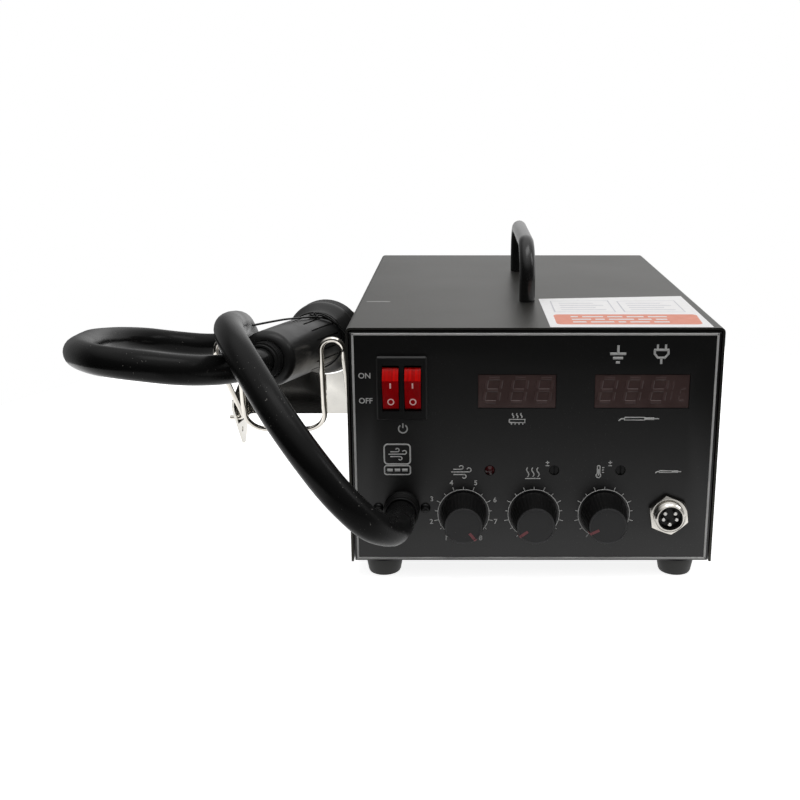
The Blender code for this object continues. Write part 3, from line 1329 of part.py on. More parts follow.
def make_main_board():
    """Power board on four posts with its larger components, and the finned heat sink on it."""
    low = SEAT + MAIN_BOARD_RISE
    top = low + BOARD_THICKNESS
    left = MAIN_BOARD_X - MAIN_BOARD_WIDTH / 2
    near = MAIN_BOARD_Y - MAIN_BOARD_LENGTH / 2
    right = left + MAIN_BOARD_WIDTH
    far = near + MAIN_BOARD_LENGTH
    board = box("main_board", (left, near, low), (right, far, top), green_board())
    parts = bmesh.new()
    inset = MAIN_BOARD_POST_INSET
    for x in (left + inset, right - inset):
        for y in (near + inset, far - inset):
            grow_rod(parts, (x, y, SEAT), (x, y, low + 0.0005), MAIN_BOARD_POST_RADIUS, 8)
    root = top - 0.0005
    for x, y in CAPACITOR_PLACES:
        place = (left + x, near + y)
        grow_rod(parts, (*place, root), (*place, top + CAPACITOR_HEIGHT), CAPACITOR_RADIUS, 12)
    blocks = ((RELAY_PLACE, RELAY_SIZE), (TERMINAL_PLACE, TERMINAL_SIZE), (PLUG_PLACE, PLUG_SIZE))
    for (x, y), (width, depth, height) in blocks:
        grow_box(parts, (left + x, near + y, root), (left + x + width, near + y + depth, top + height))
    join(board, solid("main_board_parts", parts, helper=True))

    half = HEAT_SINK_WIDTH / 2
    pitch = (HEAT_SINK_WIDTH - HEAT_SINK_FIN) / (HEAT_SINK_FINS - 1)
    comb = [(half, 0), (half, HEAT_SINK_DEPTH)]
    for number in reversed(range(HEAT_SINK_FINS)):
        edge = -half + number * pitch
        if number < HEAT_SINK_FINS - 1:
            comb += [(edge + HEAT_SINK_FIN, HEAT_SINK_WEB), (edge + HEAT_SINK_FIN, HEAT_SINK_DEPTH)]
        comb.append((edge, HEAT_SINK_DEPTH))
        if number > 0:
            comb.append((edge, HEAT_SINK_WEB))
    comb.append((-half, 0))
    add(
        "heat_sink", plate_data("heat_sink", [comb], HEAT_SINK_HEIGHT),
        finish("aluminium", (0.55, 0.55, 0.56), 0.4, 1.0),
        (right - half - 0.006, near + 0.034, top + CLEAR + HEAT_SINK_HEIGHT / 2)
    )


def make_air_tube(outlet):
    """Soft tube from the pump's nipple to the back of the hose outlet."""
    gland = Vector((GLAND_X, FRONT + GLAND_DEPTH + CLEAR, GLAND_Z))
    route = [
        outlet, outlet + LEFTWARD * AIR_TUBE_LEAVES, outlet + LEFTWARD * 2 * AIR_TUBE_LEAVES,
        *AIR_TUBE_BENDS, gland + BACKWARD * 2 * AIR_TUBE_ARRIVES, gland + BACKWARD * AIR_TUBE_ARRIVES, gland,
    ]
    tube(
        "air_tube", smooth_route(route, AIR_TUBE_PITCH), AIR_TUBE_RADIUS,
        finish("silicone_tube", (0.55, 0.53, 0.48), 0.4)
    )


def make_bracket():
    """Holder channel: a cross plate with a saddle for the collar and two tapering wings."""
    right = -SIDE - CLEAR
    left = right - HOLDER_WIDTH
    front = WING_NOSE_Y - 0.002
    low = WING_TIP_Z - 0.002
    path = rounded(
        [(left, front, low), (left, PLATE_Y, low), (right, PLATE_Y, low), (right, front, low)], HOLDER_BEND,
        3
    )
    bracket = strip("holder_bracket", path, (0, 0, PLATE_TOP - low), HOLDER_SHEET, bright_metal())
    behind = PLATE_Y + 0.002
    wing_root = PLATE_Y - 0.008
    corners = (
        (behind, PLATE_LOW), (behind, PLATE_TOP + 0.001), (wing_root, PLATE_TOP + 0.001),
        (WING_NOSE_Y, WING_NOSE_Z), (WING_TIP_Y, WING_TIP_Z), (wing_root, PLATE_LOW), (behind, PLATE_LOW),
    )
    radii = [0.0002, WING_ROOT_RADIUS, WING_TIP_RADIUS, WING_TIP_RADIUS, WING_ROOT_RADIUS]
    side_view = rounded([Vector(corner) for corner in corners], radii, 3)
    profile = add(
        "bracket_outline", plate_data("bracket_outline", [side_view[:-1]], HOLDER_WIDTH + 0.004), None,
        helper=True
    )
    profile.location = ((left + right) / 2, 0, 0)
    profile.rotation_euler = (math.pi / 2, 0, math.pi / 2)
    boolean(bracket, as_mesh(profile, helper=True), "INTERSECT")
    holes = bmesh.new()
    for y, z in ((WIRE_PIVOT_Y, WIRE_PIVOT_Z), (WIRE_SPARE_HOLE_Y, WIRE_SPARE_HOLE_Z)):
        grow_rod(holes, (left - 0.002, y, z), (right + 0.002, y, z), WIRE_RADIUS + CLEAR, 12)
    for y in BRACKET_SCREW_YS:
        grow_rod(
            holes, (right - 0.004, y, BRACKET_SCREW_Z), (right + 0.002, y, BRACKET_SCREW_Z),
            SCREW_RADIUS + CLEAR, 12
        )
    cut(bracket, solid("bracket_holes", holes, helper=True))
    saddle = bmesh.new()
    grow_rod(
        saddle, COLLAR_CENTRE - HANDPIECE_AIM * 0.03, COLLAR_CENTRE + HANDPIECE_AIM * 0.05,
        COLLAR_RADIUS + CLEAR, 48
    )
    cut(bracket, solid("collar_saddle", saddle, helper=True))
    grip = CLEAR + HOLDER_SHEET + CLEAR + SHEET + CLEAR
    for y, label in zip(BRACKET_SCREW_YS, ("front", "rear")):
        turned(
            "bracket_screw_" + label, bolt_profile(grip), steel(),
            (right - HOLDER_SHEET - CLEAR, y, BRACKET_SCREW_Z), LEFTWARD, 8
        )


def make_wire():
    """Cradle bent from one wire: ends in the wings, an ear over each side and a low trough between."""
    wing_outer = -SIDE - CLEAR - HOLDER_WIDTH
    left_foot = wing_outer + HOLDER_SHEET + CLEAR + WIRE_BEND
    middle = -SIDE - CRADLE_REACH
    inner_left = middle - CRADLE_WIDTH / 2
    inner_right = middle + CRADLE_WIDTH / 2
    outer_left = inner_left - 2 * EAR_RADIUS
    outer_right = inner_right + 2 * EAR_RADIUS
    corners = [
        (wing_outer - WIRE_END, WIRE_PIVOT_Y, WIRE_PIVOT_Z), (left_foot, WIRE_PIVOT_Y, WIRE_PIVOT_Z),
        (outer_left, WIRE_TOP_Y, WIRE_KNEE_Z), (outer_left, WIRE_TOP_Y, WIRE_TOP_Z),
        (inner_left, WIRE_TOP_Y, WIRE_TOP_Z),
        (inner_left, WIRE_SHIN_Y, WIRE_SHIN_Z), (inner_left, WIRE_LOW_Y, WIRE_LOW_Z),
        (inner_right, WIRE_LOW_Y, WIRE_LOW_Z),
        (inner_right, WIRE_SHIN_Y, WIRE_SHIN_Z), (inner_right, WIRE_TOP_Y, WIRE_TOP_Z),
        (outer_right, WIRE_TOP_Y, WIRE_TOP_Z),
        (outer_right, WIRE_TOP_Y, WIRE_KNEE_Z), (-SIDE - WIRE_FOOT_REACH, WIRE_PIVOT_Y, WIRE_PIVOT_Z),
        (-SIDE - 2 * CLEAR, WIRE_PIVOT_Y, WIRE_PIVOT_Z),
    ]
    ear = EAR_RADIUS * 0.999
    half = [WIRE_BEND, WIRE_KNEE_BEND, ear, ear, WIRE_SHIN_BEND, CRADLE_BEND]
    path = rounded(corners, half + half[::-1], 3)
    tube("holder_wire", path, WIRE_RADIUS, finish("chromed_wire", (0.80, 0.80, 0.78), 0.10, 1.0), 2)


def handpiece_axis():
    """Empty at the grip's rear end whose Z axis runs along the handpiece."""
    axis = bpy.data.objects.new("handpiece_axis", None)
    axis.location = HANDPIECE_REAR
    axis.rotation_euler = HANDPIECE_AIM.to_track_quat("Z", "Y").to_euler()
    collection(PARTS).objects.link(axis)
    return axis


def make_grip(axis):
    """Tapered hollow grip with a rounded rear rim and long grooves near the collar."""
    lip = RELIEF_RADIUS + CLEAR
    nose = arc(GRIP_REAR_RADIUS - GRIP_NOSE, GRIP_NOSE, GRIP_NOSE, 0, -80, 4)
    profile = [(GRIP_FRONT_RADIUS - GRIP_WALL, GRIP_LENGTH), (GRIP_FRONT_RADIUS, GRIP_LENGTH)] + nose
    profile += [(lip, nose[-1][1]), (lip, GRIP_WALL), (GRIP_REAR_RADIUS - GRIP_WALL, GRIP_WALL + 0.001)]
    grip = turned("grip_shell", profile, black_rubber(), steps=28, ring=True, parent=axis)
    taper = (GRIP_FRONT_RADIUS - GRIP_REAR_RADIUS) / (GRIP_LENGTH - GRIP_NOSE)
    grooves = bmesh.new()
    for number in range(GROOVE_COUNT):
        start_radius = GRIP_REAR_RADIUS + taper * (GROOVE_START - GRIP_NOSE)
        made = grow_box(
            grooves, (start_radius - GROOVE_DEPTH, -GROOVE_WIDTH / 2, GROOVE_START),
            (start_radius + 0.002, GROOVE_WIDTH / 2, GROOVE_END)
        )
        for vert in made:
            vert.co.x += taper * (vert.co.z - GROOVE_START)
        turn = Quaternion((0, 0, 1), 2 * math.pi * (number + 0.5) / GROOVE_COUNT)
        bmesh.ops.rotate(grooves, cent=(0, 0, 0), matrix=turn.to_matrix(), verts=made)
    cut(grip, solid("grip_grooves", grooves, parent=axis, helper=True))


def make_collar(axis):
    """Flared guard in front of the grip with a ringed rim."""
    start = GRIP_LENGTH + CLEAR
    rim = start + COLLAR_FLARE
    end = rim + COLLAR_RIM
    bore = BARREL_RADIUS + CLEAR
    ring = COLLAR_RIM / 3
    profile = [(bore, end), (COLLAR_RADIUS - 0.0010, end), (COLLAR_RADIUS, end - 0.0010)]
    for number in (1, 2):
        height = end - number * ring
        profile += [
            (COLLAR_RADIUS, height + 0.0004), (COLLAR_RADIUS - 0.0005, height),
            (COLLAR_RADIUS, height - 0.0004)
        ]
    profile += [
        (COLLAR_RADIUS, rim), (COLLAR_RADIUS - 0.0007, rim - 0.0022),
        (COLLAR_RADIUS - 0.0026, rim - 0.0050),
        (COLLAR_RADIUS - 0.0052, rim - 0.0080), (GRIP_FRONT_RADIUS + 0.0004, start), (bore, start),
    ]
    turned("grip_collar", profile, black_rubber(), steps=28, ring=True, parent=axis)


def make_relief(axis):
    """Ringed sleeve in the grip's rear mouth that the hose goes into."""
    bore = HOSE_RADIUS + HOSE_FIT
    flange_top = GRIP_WALL + 0.0036
    flange_low = GRIP_WALL + 0.0016
    flange_radius = GRIP_REAR_RADIUS - GRIP_WALL - 2 * CLEAR
    profile = [
        (bore, RELIEF_INSIDE), (RELIEF_RADIUS - 0.001, RELIEF_INSIDE), (RELIEF_RADIUS - 0.001, flange_top),
        (flange_radius, flange_top), (flange_radius, flange_low), (RELIEF_RADIUS, flange_low),
    ]
    height = -0.0008
    while height > RELIEF_STEP - RELIEF_PROUD:
        profile += [
            (RELIEF_RADIUS, height), (RELIEF_RADIUS - RELIEF_NOTCH, height - 0.0004),
            (RELIEF_RADIUS - RELIEF_NOTCH, height - 0.0012), (RELIEF_RADIUS, height - 0.0016),
        ]
        height -= RELIEF_STEP
    profile += [
        (RELIEF_RADIUS, 0.0008 - RELIEF_PROUD), (RELIEF_RADIUS - 0.0008, -RELIEF_PROUD),
        (bore, -RELIEF_PROUD)
    ]
    turned("hose_relief", profile, black_rubber(), steps=16, ring=True, parent=axis)


def make_barrel(axis):
    """Steel heater tube ahead of the collar, and the clamped nozzle on its end."""
    inner = BARREL_RADIUS - BARREL_WALL
    turned(
        "heater_barrel",
        [(inner, BARREL_END), (BARREL_RADIUS, BARREL_END), (BARREL_RADIUS, BARREL_START),
         (inner, BARREL_START)],
        steel(), steps=20, ring=True, parent=axis
    )
    sleeve = BARREL_RADIUS + CLEAR
    shoulder = BARREL_END + CLEAR
    spout = shoulder + NOZZLE_TAPER
    mouth = NOZZLE_MOUTH_RADIUS
    turned(
        "nozzle",
        [(mouth - NOZZLE_WALL, spout + NOZZLE_SPOUT), (mouth, spout + NOZZLE_SPOUT), (mouth, spout),
         (sleeve + NOZZLE_WALL, shoulder), (sleeve + NOZZLE_WALL, BARREL_END - NOZZLE_SLEEVE),
         (sleeve, BARREL_END - NOZZLE_SLEEVE), (sleeve, shoulder), (sleeve - NOZZLE_WALL, shoulder),
         (mouth - NOZZLE_WALL, spout)],
        steel(), steps=16, ring=True, parent=axis
    )


def make_hose():
    """Air hose from the panel's outlet, around its side loop, to the grip."""
    arrive = [HANDPIECE_REAR + HANDPIECE_AIM * reach for reach in (-0.0160, -0.0060, HOSE_SEAT)]
    route = smooth_route(HOSE_ROUTE + arrive, HOSE_STEP)
    tube("air_hose", route, HOSE_RADIUS, black_rubber(), 2)


def make_tie():
    """Thin cord tied around the hose and the collar."""
    tube(
        "tie_cord", smooth_route(TIE_ROUTE, TIE_STEP), TIE_RADIUS,
        finish("black_cord", (0.01, 0.01, 0.01), 0.8), 2
    )


def main():
    clear_scene()
    make_tray()
    make_cover()
    make_carry_handle()
    make_feet()
    make_cover_screws()
    make_switch()
    make_windows()
    make_display_board()
    make_trimmers()
    make_lamp()
    make_knobs()
    make_iron_socket()
    make_gland()
    make_mains_inlet()
    make_transformer()
    outlet = make_pump()
    make_main_board()
    make_air_tube(outlet)
    make_bracket()
    make_wire()
    axis = handpiece_axis()
    make_grip(axis)
    make_collar(axis)
    make_relief(axis)
    make_barrel(axis)
    make_hose()
    make_tie()


main()
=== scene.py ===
# %% [markdown]
# # A hot air rework station
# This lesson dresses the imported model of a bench-top hot air rework station: a folded steel box
# with three knobs, two display windows and a twin rocker switch, a black hose that loops out to
# the left, and a handpiece that lies in a wire cradle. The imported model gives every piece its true
# place. Here each piece gets its finish, and the ones seen from close by are modelled again.

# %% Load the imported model
import json
import math

import bpy
import numpy as np
from mathutils import Matrix, Quaternion, Vector

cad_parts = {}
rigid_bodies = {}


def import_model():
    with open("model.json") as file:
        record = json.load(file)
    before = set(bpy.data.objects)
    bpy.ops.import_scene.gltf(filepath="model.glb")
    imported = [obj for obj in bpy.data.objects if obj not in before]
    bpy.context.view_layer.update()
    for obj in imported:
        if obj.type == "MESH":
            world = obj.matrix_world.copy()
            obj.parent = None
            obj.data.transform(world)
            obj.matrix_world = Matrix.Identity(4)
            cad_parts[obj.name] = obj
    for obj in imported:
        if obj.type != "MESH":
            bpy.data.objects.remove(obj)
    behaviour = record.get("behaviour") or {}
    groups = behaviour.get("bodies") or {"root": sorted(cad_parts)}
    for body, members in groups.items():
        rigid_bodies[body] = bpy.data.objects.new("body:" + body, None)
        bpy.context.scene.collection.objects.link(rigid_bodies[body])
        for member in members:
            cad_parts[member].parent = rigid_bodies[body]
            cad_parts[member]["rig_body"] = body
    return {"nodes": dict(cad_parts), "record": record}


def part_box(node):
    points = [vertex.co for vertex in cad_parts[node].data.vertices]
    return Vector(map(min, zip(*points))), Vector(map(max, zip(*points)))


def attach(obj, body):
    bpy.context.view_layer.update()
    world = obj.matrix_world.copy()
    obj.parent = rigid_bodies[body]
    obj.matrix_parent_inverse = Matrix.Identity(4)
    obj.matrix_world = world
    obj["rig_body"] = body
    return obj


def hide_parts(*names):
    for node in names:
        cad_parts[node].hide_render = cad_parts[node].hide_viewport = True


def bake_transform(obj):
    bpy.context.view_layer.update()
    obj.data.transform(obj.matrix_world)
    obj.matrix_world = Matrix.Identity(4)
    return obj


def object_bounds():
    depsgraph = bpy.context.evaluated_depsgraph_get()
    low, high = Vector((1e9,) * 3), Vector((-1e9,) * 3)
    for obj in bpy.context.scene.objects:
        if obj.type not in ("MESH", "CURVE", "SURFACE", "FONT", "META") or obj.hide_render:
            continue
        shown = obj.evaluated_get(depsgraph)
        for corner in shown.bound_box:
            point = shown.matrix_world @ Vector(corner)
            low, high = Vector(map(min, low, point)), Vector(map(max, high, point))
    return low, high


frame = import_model()
cad_low, cad_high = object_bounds()
nodes = frame["nodes"]

# %% [markdown]
# ## Values that several cells share
# Places are in metres. The front panel is a plane that faces the viewer, and the places of the
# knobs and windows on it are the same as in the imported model. Drawings of a section or of a print
# are in millimetres, as on a workshop drawing, and say so.

# %% Shared places and helpers
MM = 0.001
FRONT = -0.1225
SIDE = 0.094
TOP = 0.125
KNOB_XS = {"air": -0.03546, "heat": 0.00082, "temperature": 0.03706}
KNOB_Z = 0.0267
PANEL_TURN = Matrix.Rotation(math.radians(90), 4, "X")


def deselect():
    """Leave edit mode and select nothing, so that the next operator acts on one piece alone."""
    if bpy.context.object and bpy.context.object.mode != "OBJECT":
        bpy.ops.object.mode_set(mode="OBJECT")
    bpy.ops.object.select_all(action="DESELECT")


def pick(item):
    """Select one object and make it the active one."""
    deselect()
    item.select_set(True)
    bpy.context.view_layer.objects.active = item
    return item


def named(name):
    """Name the object that an operator has just made."""
    item = bpy.context.object
    item.name = item.data.name = name
    return item


def aimed(aim):
    """The turn that lays the Z axis along a direction."""
    return Vector(aim).to_track_quat("Z", "Y").to_matrix().to_4x4()


def placed(item, place=(0, 0, 0), turn=None):
    """Move a finished mesh to its place and leave its object at the origin."""
    item.data.transform(Matrix.Translation(Vector(place)) @ (turn or Matrix.Identity(4)))
    item.data.update()
    return item


def middle_of(node):
    """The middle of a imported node's box."""
    low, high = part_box(node)
    return (Vector(low) + Vector(high)) / 2


# %% [markdown]
# ## The camera
# The photograph was taken from a little above, with a long lens. The shift moves the picture
# without turning the camera, as its crop did.

# %% Camera
camera_data = bpy.data.cameras.new("viewpoint")
camera = bpy.data.objects.new("viewpoint", camera_data)
bpy.context.scene.collection.objects.link(camera)
camera.location = (-0.03614, -0.62259, 0.23433)
camera.rotation_euler = (math.radians(90 - 14.659), 0, 0)
camera_data.sensor_width = 36
camera_data.lens = 46.69
camera_data.shift_x = -0.0777
camera_data.shift_y = -0.0375
camera_data.clip_start = 0.01
camera_data.clip_end = 50
bpy.context.scene.camera = camera

# %% [markdown]
# ## Finishes as expressions
# A finish is a small network of nodes. Writing it out socket by socket hides what it means, so one
# class wraps a socket and lets Python's own signs add the Math nodes: `1 - dust` is a node that
# subtracts. Every other node comes from one method that takes its type, settings and sockets.


# %% Reading and Finish
class Reading:
    """An output socket of a finish that can be used in sums."""

    def __init__(self, finish, socket):
        self.finish = finish
        self.socket = socket

    def sum(self, operation, first, second=0.0):
        return self.finish.node("ShaderNodeMath", {"operation": operation}, {0: first, 1: second})

    def __add__(self, other):
        return self.sum("ADD", self, other)

    __radd__ = __add__

    def __sub__(self, other):
        return self.sum("SUBTRACT", self, other)

    def __rsub__(self, other):
        return self.sum("SUBTRACT", other, self)

    def __mul__(self, other):
        return self.sum("MULTIPLY", self, other)

    __rmul__ = __mul__

    def __abs__(self):
        return self.sum("ABSOLUTE", self)

    def larger(self, other):
        """The larger of two values."""
        return self.sum("MAXIMUM", self, other)

    def span(self, low, high, start=0.0, end=1.0):
        """Spread low..high over start..end, and hold the ends."""
        limits = {"From Min": low, "From Max": high, "To Min": start, "To Max": end}
        return self.finish.node("ShaderNodeMapRange", {"clamp": True}, {"Value": self, **limits})


class Finish:
    """A material whose shader takes constants directly and varying values from Readings."""

    def __init__(self, name, **constants):
        self.material = bpy.data.materials.new(name)
        self.material.use_nodes = True
        self.tree = self.material.node_tree
        self.shader = self.tree.nodes["Principled BSDF"]
        for label, value in constants.items():
            self.set(label.replace("_", " "), value)

    def set(self, label, value):
        self.feed(self.shader.inputs[label], value)
        return self

    def feed(self, socket, value):
        if isinstance(value, Reading):
            self.tree.links.new(value.socket, socket)
        else:
            socket.default_value = value

    def node(self, kind, settings=None, sockets=None, output=0):
        """A node of one type, its settings first and then the values or links of its sockets."""
        made = self.tree.nodes.new(kind)
        for label, value in (settings or {}).items():
            setattr(made, label, value)
        for label, value in (sockets or {}).items():
            self.feed(made.inputs[label], value)
        return Reading(self, made.outputs[output])

    def place(self, stretch=(1, 1, 1)):
        """Object coordinates, stretched for one piece."""
        where = self.node("ShaderNodeTexCoord", output="Object")
        return self.node("ShaderNodeMapping", sockets={"Vector": where, "Scale": stretch})

    def noise(self, scale, detail=2.0, rough=0.5, stretch=(1, 1, 1)):
        values = {"Vector": self.place(stretch), "Scale": scale, "Detail": detail, "Roughness": rough}
        return self.node("ShaderNodeTexNoise", sockets=values)

    def part(self, where, axis):
        """One coordinate, X, Y or Z, of a vector."""
        return self.node("ShaderNodeSeparateXYZ", sockets={"Vector": where}, output=axis)

    def mix(self, share, first, second):
        """Blend two colours by a share from 0 to 1."""
        colours = [shade if isinstance(shade, Reading) else (*shade, 1.0) for shade in (first, second)]
        return self.node("ShaderNodeMix", {"data_type": "RGBA"}, {0: share, 6: colours[0], 7: colours[1]}, 2)

    def bump(self, height, depth, strength=1.0):
        """Relief whose full height is depth metres."""
        values = {"Height": height, "Distance": depth, "Strength": strength}
        return self.set("Normal", self.node("ShaderNodeBump", sockets=values, output="Normal"))


def wear(item, finish):
    """Give a piece one finish."""
    item.data.materials.clear()
    item.data.materials.append(finish.material)
    return item


# %% [markdown]
# ## Rubber and moulded plastic
# The hose and the handpiece's grip are black rubber with a satin sheen that collects pale dust.
# A fine noise gives the surface its grain, and a sparse one lays specks of dust over it. A knob's
# fluted skirt is as dark, and its flat face is painted paler: painted light for the light that the
# face catches. So its finish looks at how far a point stands in front of the panel.

# %% Black rubber and plastic finishes
DUST = (0.30, 0.29, 0.27)
GRIP_GREY = (0.015, 0.015, 0.015)
KNOB_FACE = (FRONT - 0.0168, FRONT - 0.0164)


def dusty(finish, base, specks, low, high, grain, cloud):
    """Lay specks of dust, a clouded gloss and a fine grain over a base colour."""
    speck = finish.noise(900, 1).span(0.73, 0.78) * cloud.span(0.45, 0.62)
    finish.set("Base Color", finish.mix(speck * specks, base, DUST))
    finish.set("Roughness", cloud.span(0.3, 0.7, low, high) + speck * 0.3)
    return finish.bump(finish.noise(2600, 2), grain, 0.5)


def dusty_rubber(name, shade, shine, grain=0.00004, dust=0.5, gloss=0.5):
    finish = Finish(name, Specular_IOR_Level=gloss)
    cloud = finish.noise(38, 3)
    base = finish.mix(cloud.span(0.3, 0.7), shade, tuple(channel * 1.25 for channel in shade))
    return dusty(finish, base, dust, shine - 0.05, shine + 0.06, grain, cloud)


def knob_black():
    """Moulded plastic that is dark on a knob's fluted skirt and painted paler on its flat face, as painted
    light.
    """
    finish = Finish("knob_plastic", Specular_IOR_Level=0.25)
    # The flat face is painted paler than the skirt: painted light for the light that the face catches.
    face = finish.part(finish.place(), 1).span(*KNOB_FACE, 1.0, 0.0)
    base = finish.mix(face, (0.007, 0.007, 0.007), (0.058, 0.058, 0.059))
    return dusty(finish, base, 0.4, 0.32, 0.40, 0.00002, finish.noise(60, 3))


hose_rubber = dusty_rubber("hose_rubber", (0.008, 0.008, 0.008), 0.25, grain=0.00001, dust=0.8, gloss=0.10)
grip_rubber = dusty_rubber("grip_rubber", GRIP_GREY, 0.33, grain=0.00001, dust=0.35, gloss=0.3)
collar_rubber = dusty_rubber("collar_rubber", GRIP_GREY, 0.27, grain=0.00001, dust=0.3, gloss=0.35)
foot_rubber = dusty_rubber("foot_rubber", (0.030, 0.030, 0.028), 0.50, grain=0.0001)
black_plastic = dusty_rubber("black_plastic", (0.009, 0.009, 0.009), 0.36, grain=0.00002, dust=0.2, gloss=0.3)
gland_rubber = dusty_rubber("gland_rubber", (0.003, 0.003, 0.003), 0.45, dust=0.3, gloss=0.20)
tie_cloth = dusty_rubber("tie_cord_sheath", (0.008, 0.008, 0.008), 0.35, dust=0.4)
knob_plastic = knob_black()

# %% [markdown]
# ## The hose
# The photograph shows the hose from end to end, so its length is the real one: about 0.72 m of
# 15 mm rubber hose, from its outlet low on the panel, up past the box, round one wide loop on the
# left and into the back of the grip. The route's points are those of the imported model. A smooth
# curve runs through them, and a round bevel makes the tube.

# %% Hose route
HOSE_RADIUS = 0.0075
HOSE_ROUTE = [
    (-0.0672, -0.1205, 0.0300), (-0.0672, -0.1280, 0.0300), (-0.0672, -0.1360, 0.0300),
    (-0.0671, -0.1607, 0.0363), (-0.0694, -0.1724, 0.0390), (-0.0779, -0.1865, 0.0481),
    (-0.0853, -0.1904, 0.0569), (-0.0934, -0.1910, 0.0665), (-0.1013, -0.1894, 0.0765),
    (-0.1100, -0.1847, 0.0868), (-0.1185, -0.1780, 0.0965), (-0.1259, -0.1697, 0.1046),
    (-0.1399, -0.1480, 0.1165), (-0.1465, -0.1337, 0.1197), (-0.1522, -0.1169, 0.1208),
    (-0.1566, -0.0986, 0.1200), (-0.1610, -0.0590, 0.1132), (-0.1622, -0.0450, 0.1095),
    (-0.1638, -0.0310, 0.1040), (-0.1655, -0.0140, 0.0962), (-0.1690, 0.0040, 0.0890),
    (-0.1770, 0.0200, 0.0835), (-0.1895, 0.0310, 0.0803), (-0.2050, 0.0360, 0.0790),
    (-0.2220, 0.0340, 0.0810), (-0.2370, 0.0240, 0.0853), (-0.2470, 0.0080, 0.0894),
    (-0.2515, -0.0120, 0.0933), (-0.2515, -0.0320, 0.0969), (-0.2460, -0.0650, 0.1015),
    (-0.2360, -0.0980, 0.1070), (-0.2240, -0.1230, 0.1110), (-0.2090, -0.1410, 0.1130),
    (-0.1900, -0.1480, 0.1125), (-0.1710, -0.1430, 0.1090), (-0.1560, -0.1270, 0.1048),
    (-0.1470, -0.1090, 0.1020),
]
HANDPIECE_REAR = Vector((-0.14156, -0.08397, 0.09906))
HANDPIECE_AIM = Vector((0.1274, 0.9840, -0.1223)).normalized()
HOSE_ARRIVES = [tuple(HANDPIECE_REAR + HANDPIECE_AIM * reach) for reach in (-0.016, -0.006, 0.003)]


def smooth_route(points, step):
    """Evenly spaced points on a smooth curve through the given ones."""
    route = [Vector(point) for point in points]
    route = [2 * route[0] - route[1]] + route + [2 * route[-1] - route[-2]]
    fine = []
    for before, start, end, after in zip(route, route[1:], route[2:], route[3:]):
        first, middle, last = (math.sqrt(gap.length) for gap in (start - before, end - start, after - end))
        leave = (start - before) / first - (end - before) / (first + middle) + (end - start) / middle
        arrive = (end - start) / middle - (after - start) / (middle + last) + (after - end) / last
        for part in range(16):
            t = part / 16
            fine.append(
                (2 * t**3 - 3 * t**2 + 1) * start + (t**3 - 2 * t**2 + t) * middle * leave
                + (3 * t**2 - 2 * t**3) * end + (t**3 - t**2) * middle * arrive
            )
    fine.append(route[-2])
    along = np.concatenate([[0], np.cumsum([(b - a).length for a, b in zip(fine, fine[1:])])])
    count = max(2, round(along[-1] / step))
    wanted = np.linspace(0, along[-1], count + 1)
    columns = [np.interp(wanted, along, [point[axis] for point in fine]) for axis in range(3)]
    return [Vector(point) for point in zip(*columns)]


def length_of(points):
    return sum((Vector(b) - Vector(a)).length for a, b in zip(points, points[1:]))


# %% Lines, tubes and clean meshes
def line_of(name, runs, closed=False):
    """One curve of straight runs. Each run is a list of points and the width of its bevel."""
    deselect()
    bpy.ops.curve.primitive_bezier_curve_add(location=(0, 0, 0))
    item = named(name)
    item.data.splines.clear()
    item.data.dimensions = "3D"
    for points, width in runs:
        line = item.data.splines.new("POLY")
        line.points.add(len(points) - 1)
        line.use_cyclic_u = closed
        for dot, point in zip(line.points, points):
            dot.co = (*point, 1.0)
            dot.radius = width
    return item


def bevelled(item, radius, resolution):
    """Give a curve a round section and make it a mesh."""
    item.data.bevel_depth = radius
    item.data.bevel_resolution = resolution
    item.data.use_fill_caps = True
    bpy.ops.object.convert(target="MESH")
    return bpy.context.object


def start_edit(item):
    """Enter edit mode with the whole of one mesh selected."""
    pick(item)
    bpy.ops.object.mode_set(mode="EDIT")
    bpy.ops.mesh.select_all(action="SELECT")


def cleaned(item, gap=0.0, outward=True, angle=None):
    """Merge points within a gap, turn the faces outwards and shade smooth below an angle."""
    start_edit(item)
    if gap:
        bpy.ops.mesh.remove_doubles(threshold=gap)
    if outward:
        bpy.ops.mesh.normals_make_consistent(inside=False)
    bpy.ops.object.mode_set(mode="OBJECT")
    if angle:
        bpy.ops.object.shade_smooth_by_angle(angle=math.radians(angle))
    return item


def tube(name, points, radius, resolution=6, closed=False):
    """A round tube along points, made a mesh."""
    return cleaned(bevelled(line_of(name, [(points, 1.0)], closed), radius, resolution), 0.00001, angle=40)


# %% Hose
hose_line = smooth_route(HOSE_ROUTE + HOSE_ARRIVES, 0.004)
hose = tube("hose_body", hose_line, HOSE_RADIUS, 10)
wear(hose, hose_rubber)
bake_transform(hose)
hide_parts("air_hose")
print("hose length:", round(length_of(hose_line), 3))

# %% [markdown]
# ## The tie cord
# A thin black cord is knotted round the hose where it enters the grip and runs over the collar.
# It lies on the handpiece and is lifted with it.

# %% Tie cord
TIE_RADIUS = 0.0006
TIE_ROUTE = [
    (-0.1518, -0.0620, 0.1132), (-0.1432, -0.0496, 0.1127), (-0.1377, -0.0372, 0.1114),
    (-0.1329, -0.0249, 0.1095), (-0.1287, -0.0134, 0.1077), (-0.1250, -0.0040, 0.1057),
    (-0.1209, 0.0033, 0.1034), (-0.1173, 0.0086, 0.1009), (-0.1145, 0.0120, 0.0983),
    (-0.1123, 0.0139, 0.0958), (-0.1105, 0.0149, 0.0931), (-0.1093, 0.0149, 0.0902),
]
tie_line = smooth_route(TIE_ROUTE, 0.002)
tie = tube("tie_string", tie_line, TIE_RADIUS, 3)
wear(tie, tie_cloth)
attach(tie, "handpiece")
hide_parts("tie_cord")
print("tie cord length:", round(length_of(tie_line), 3))

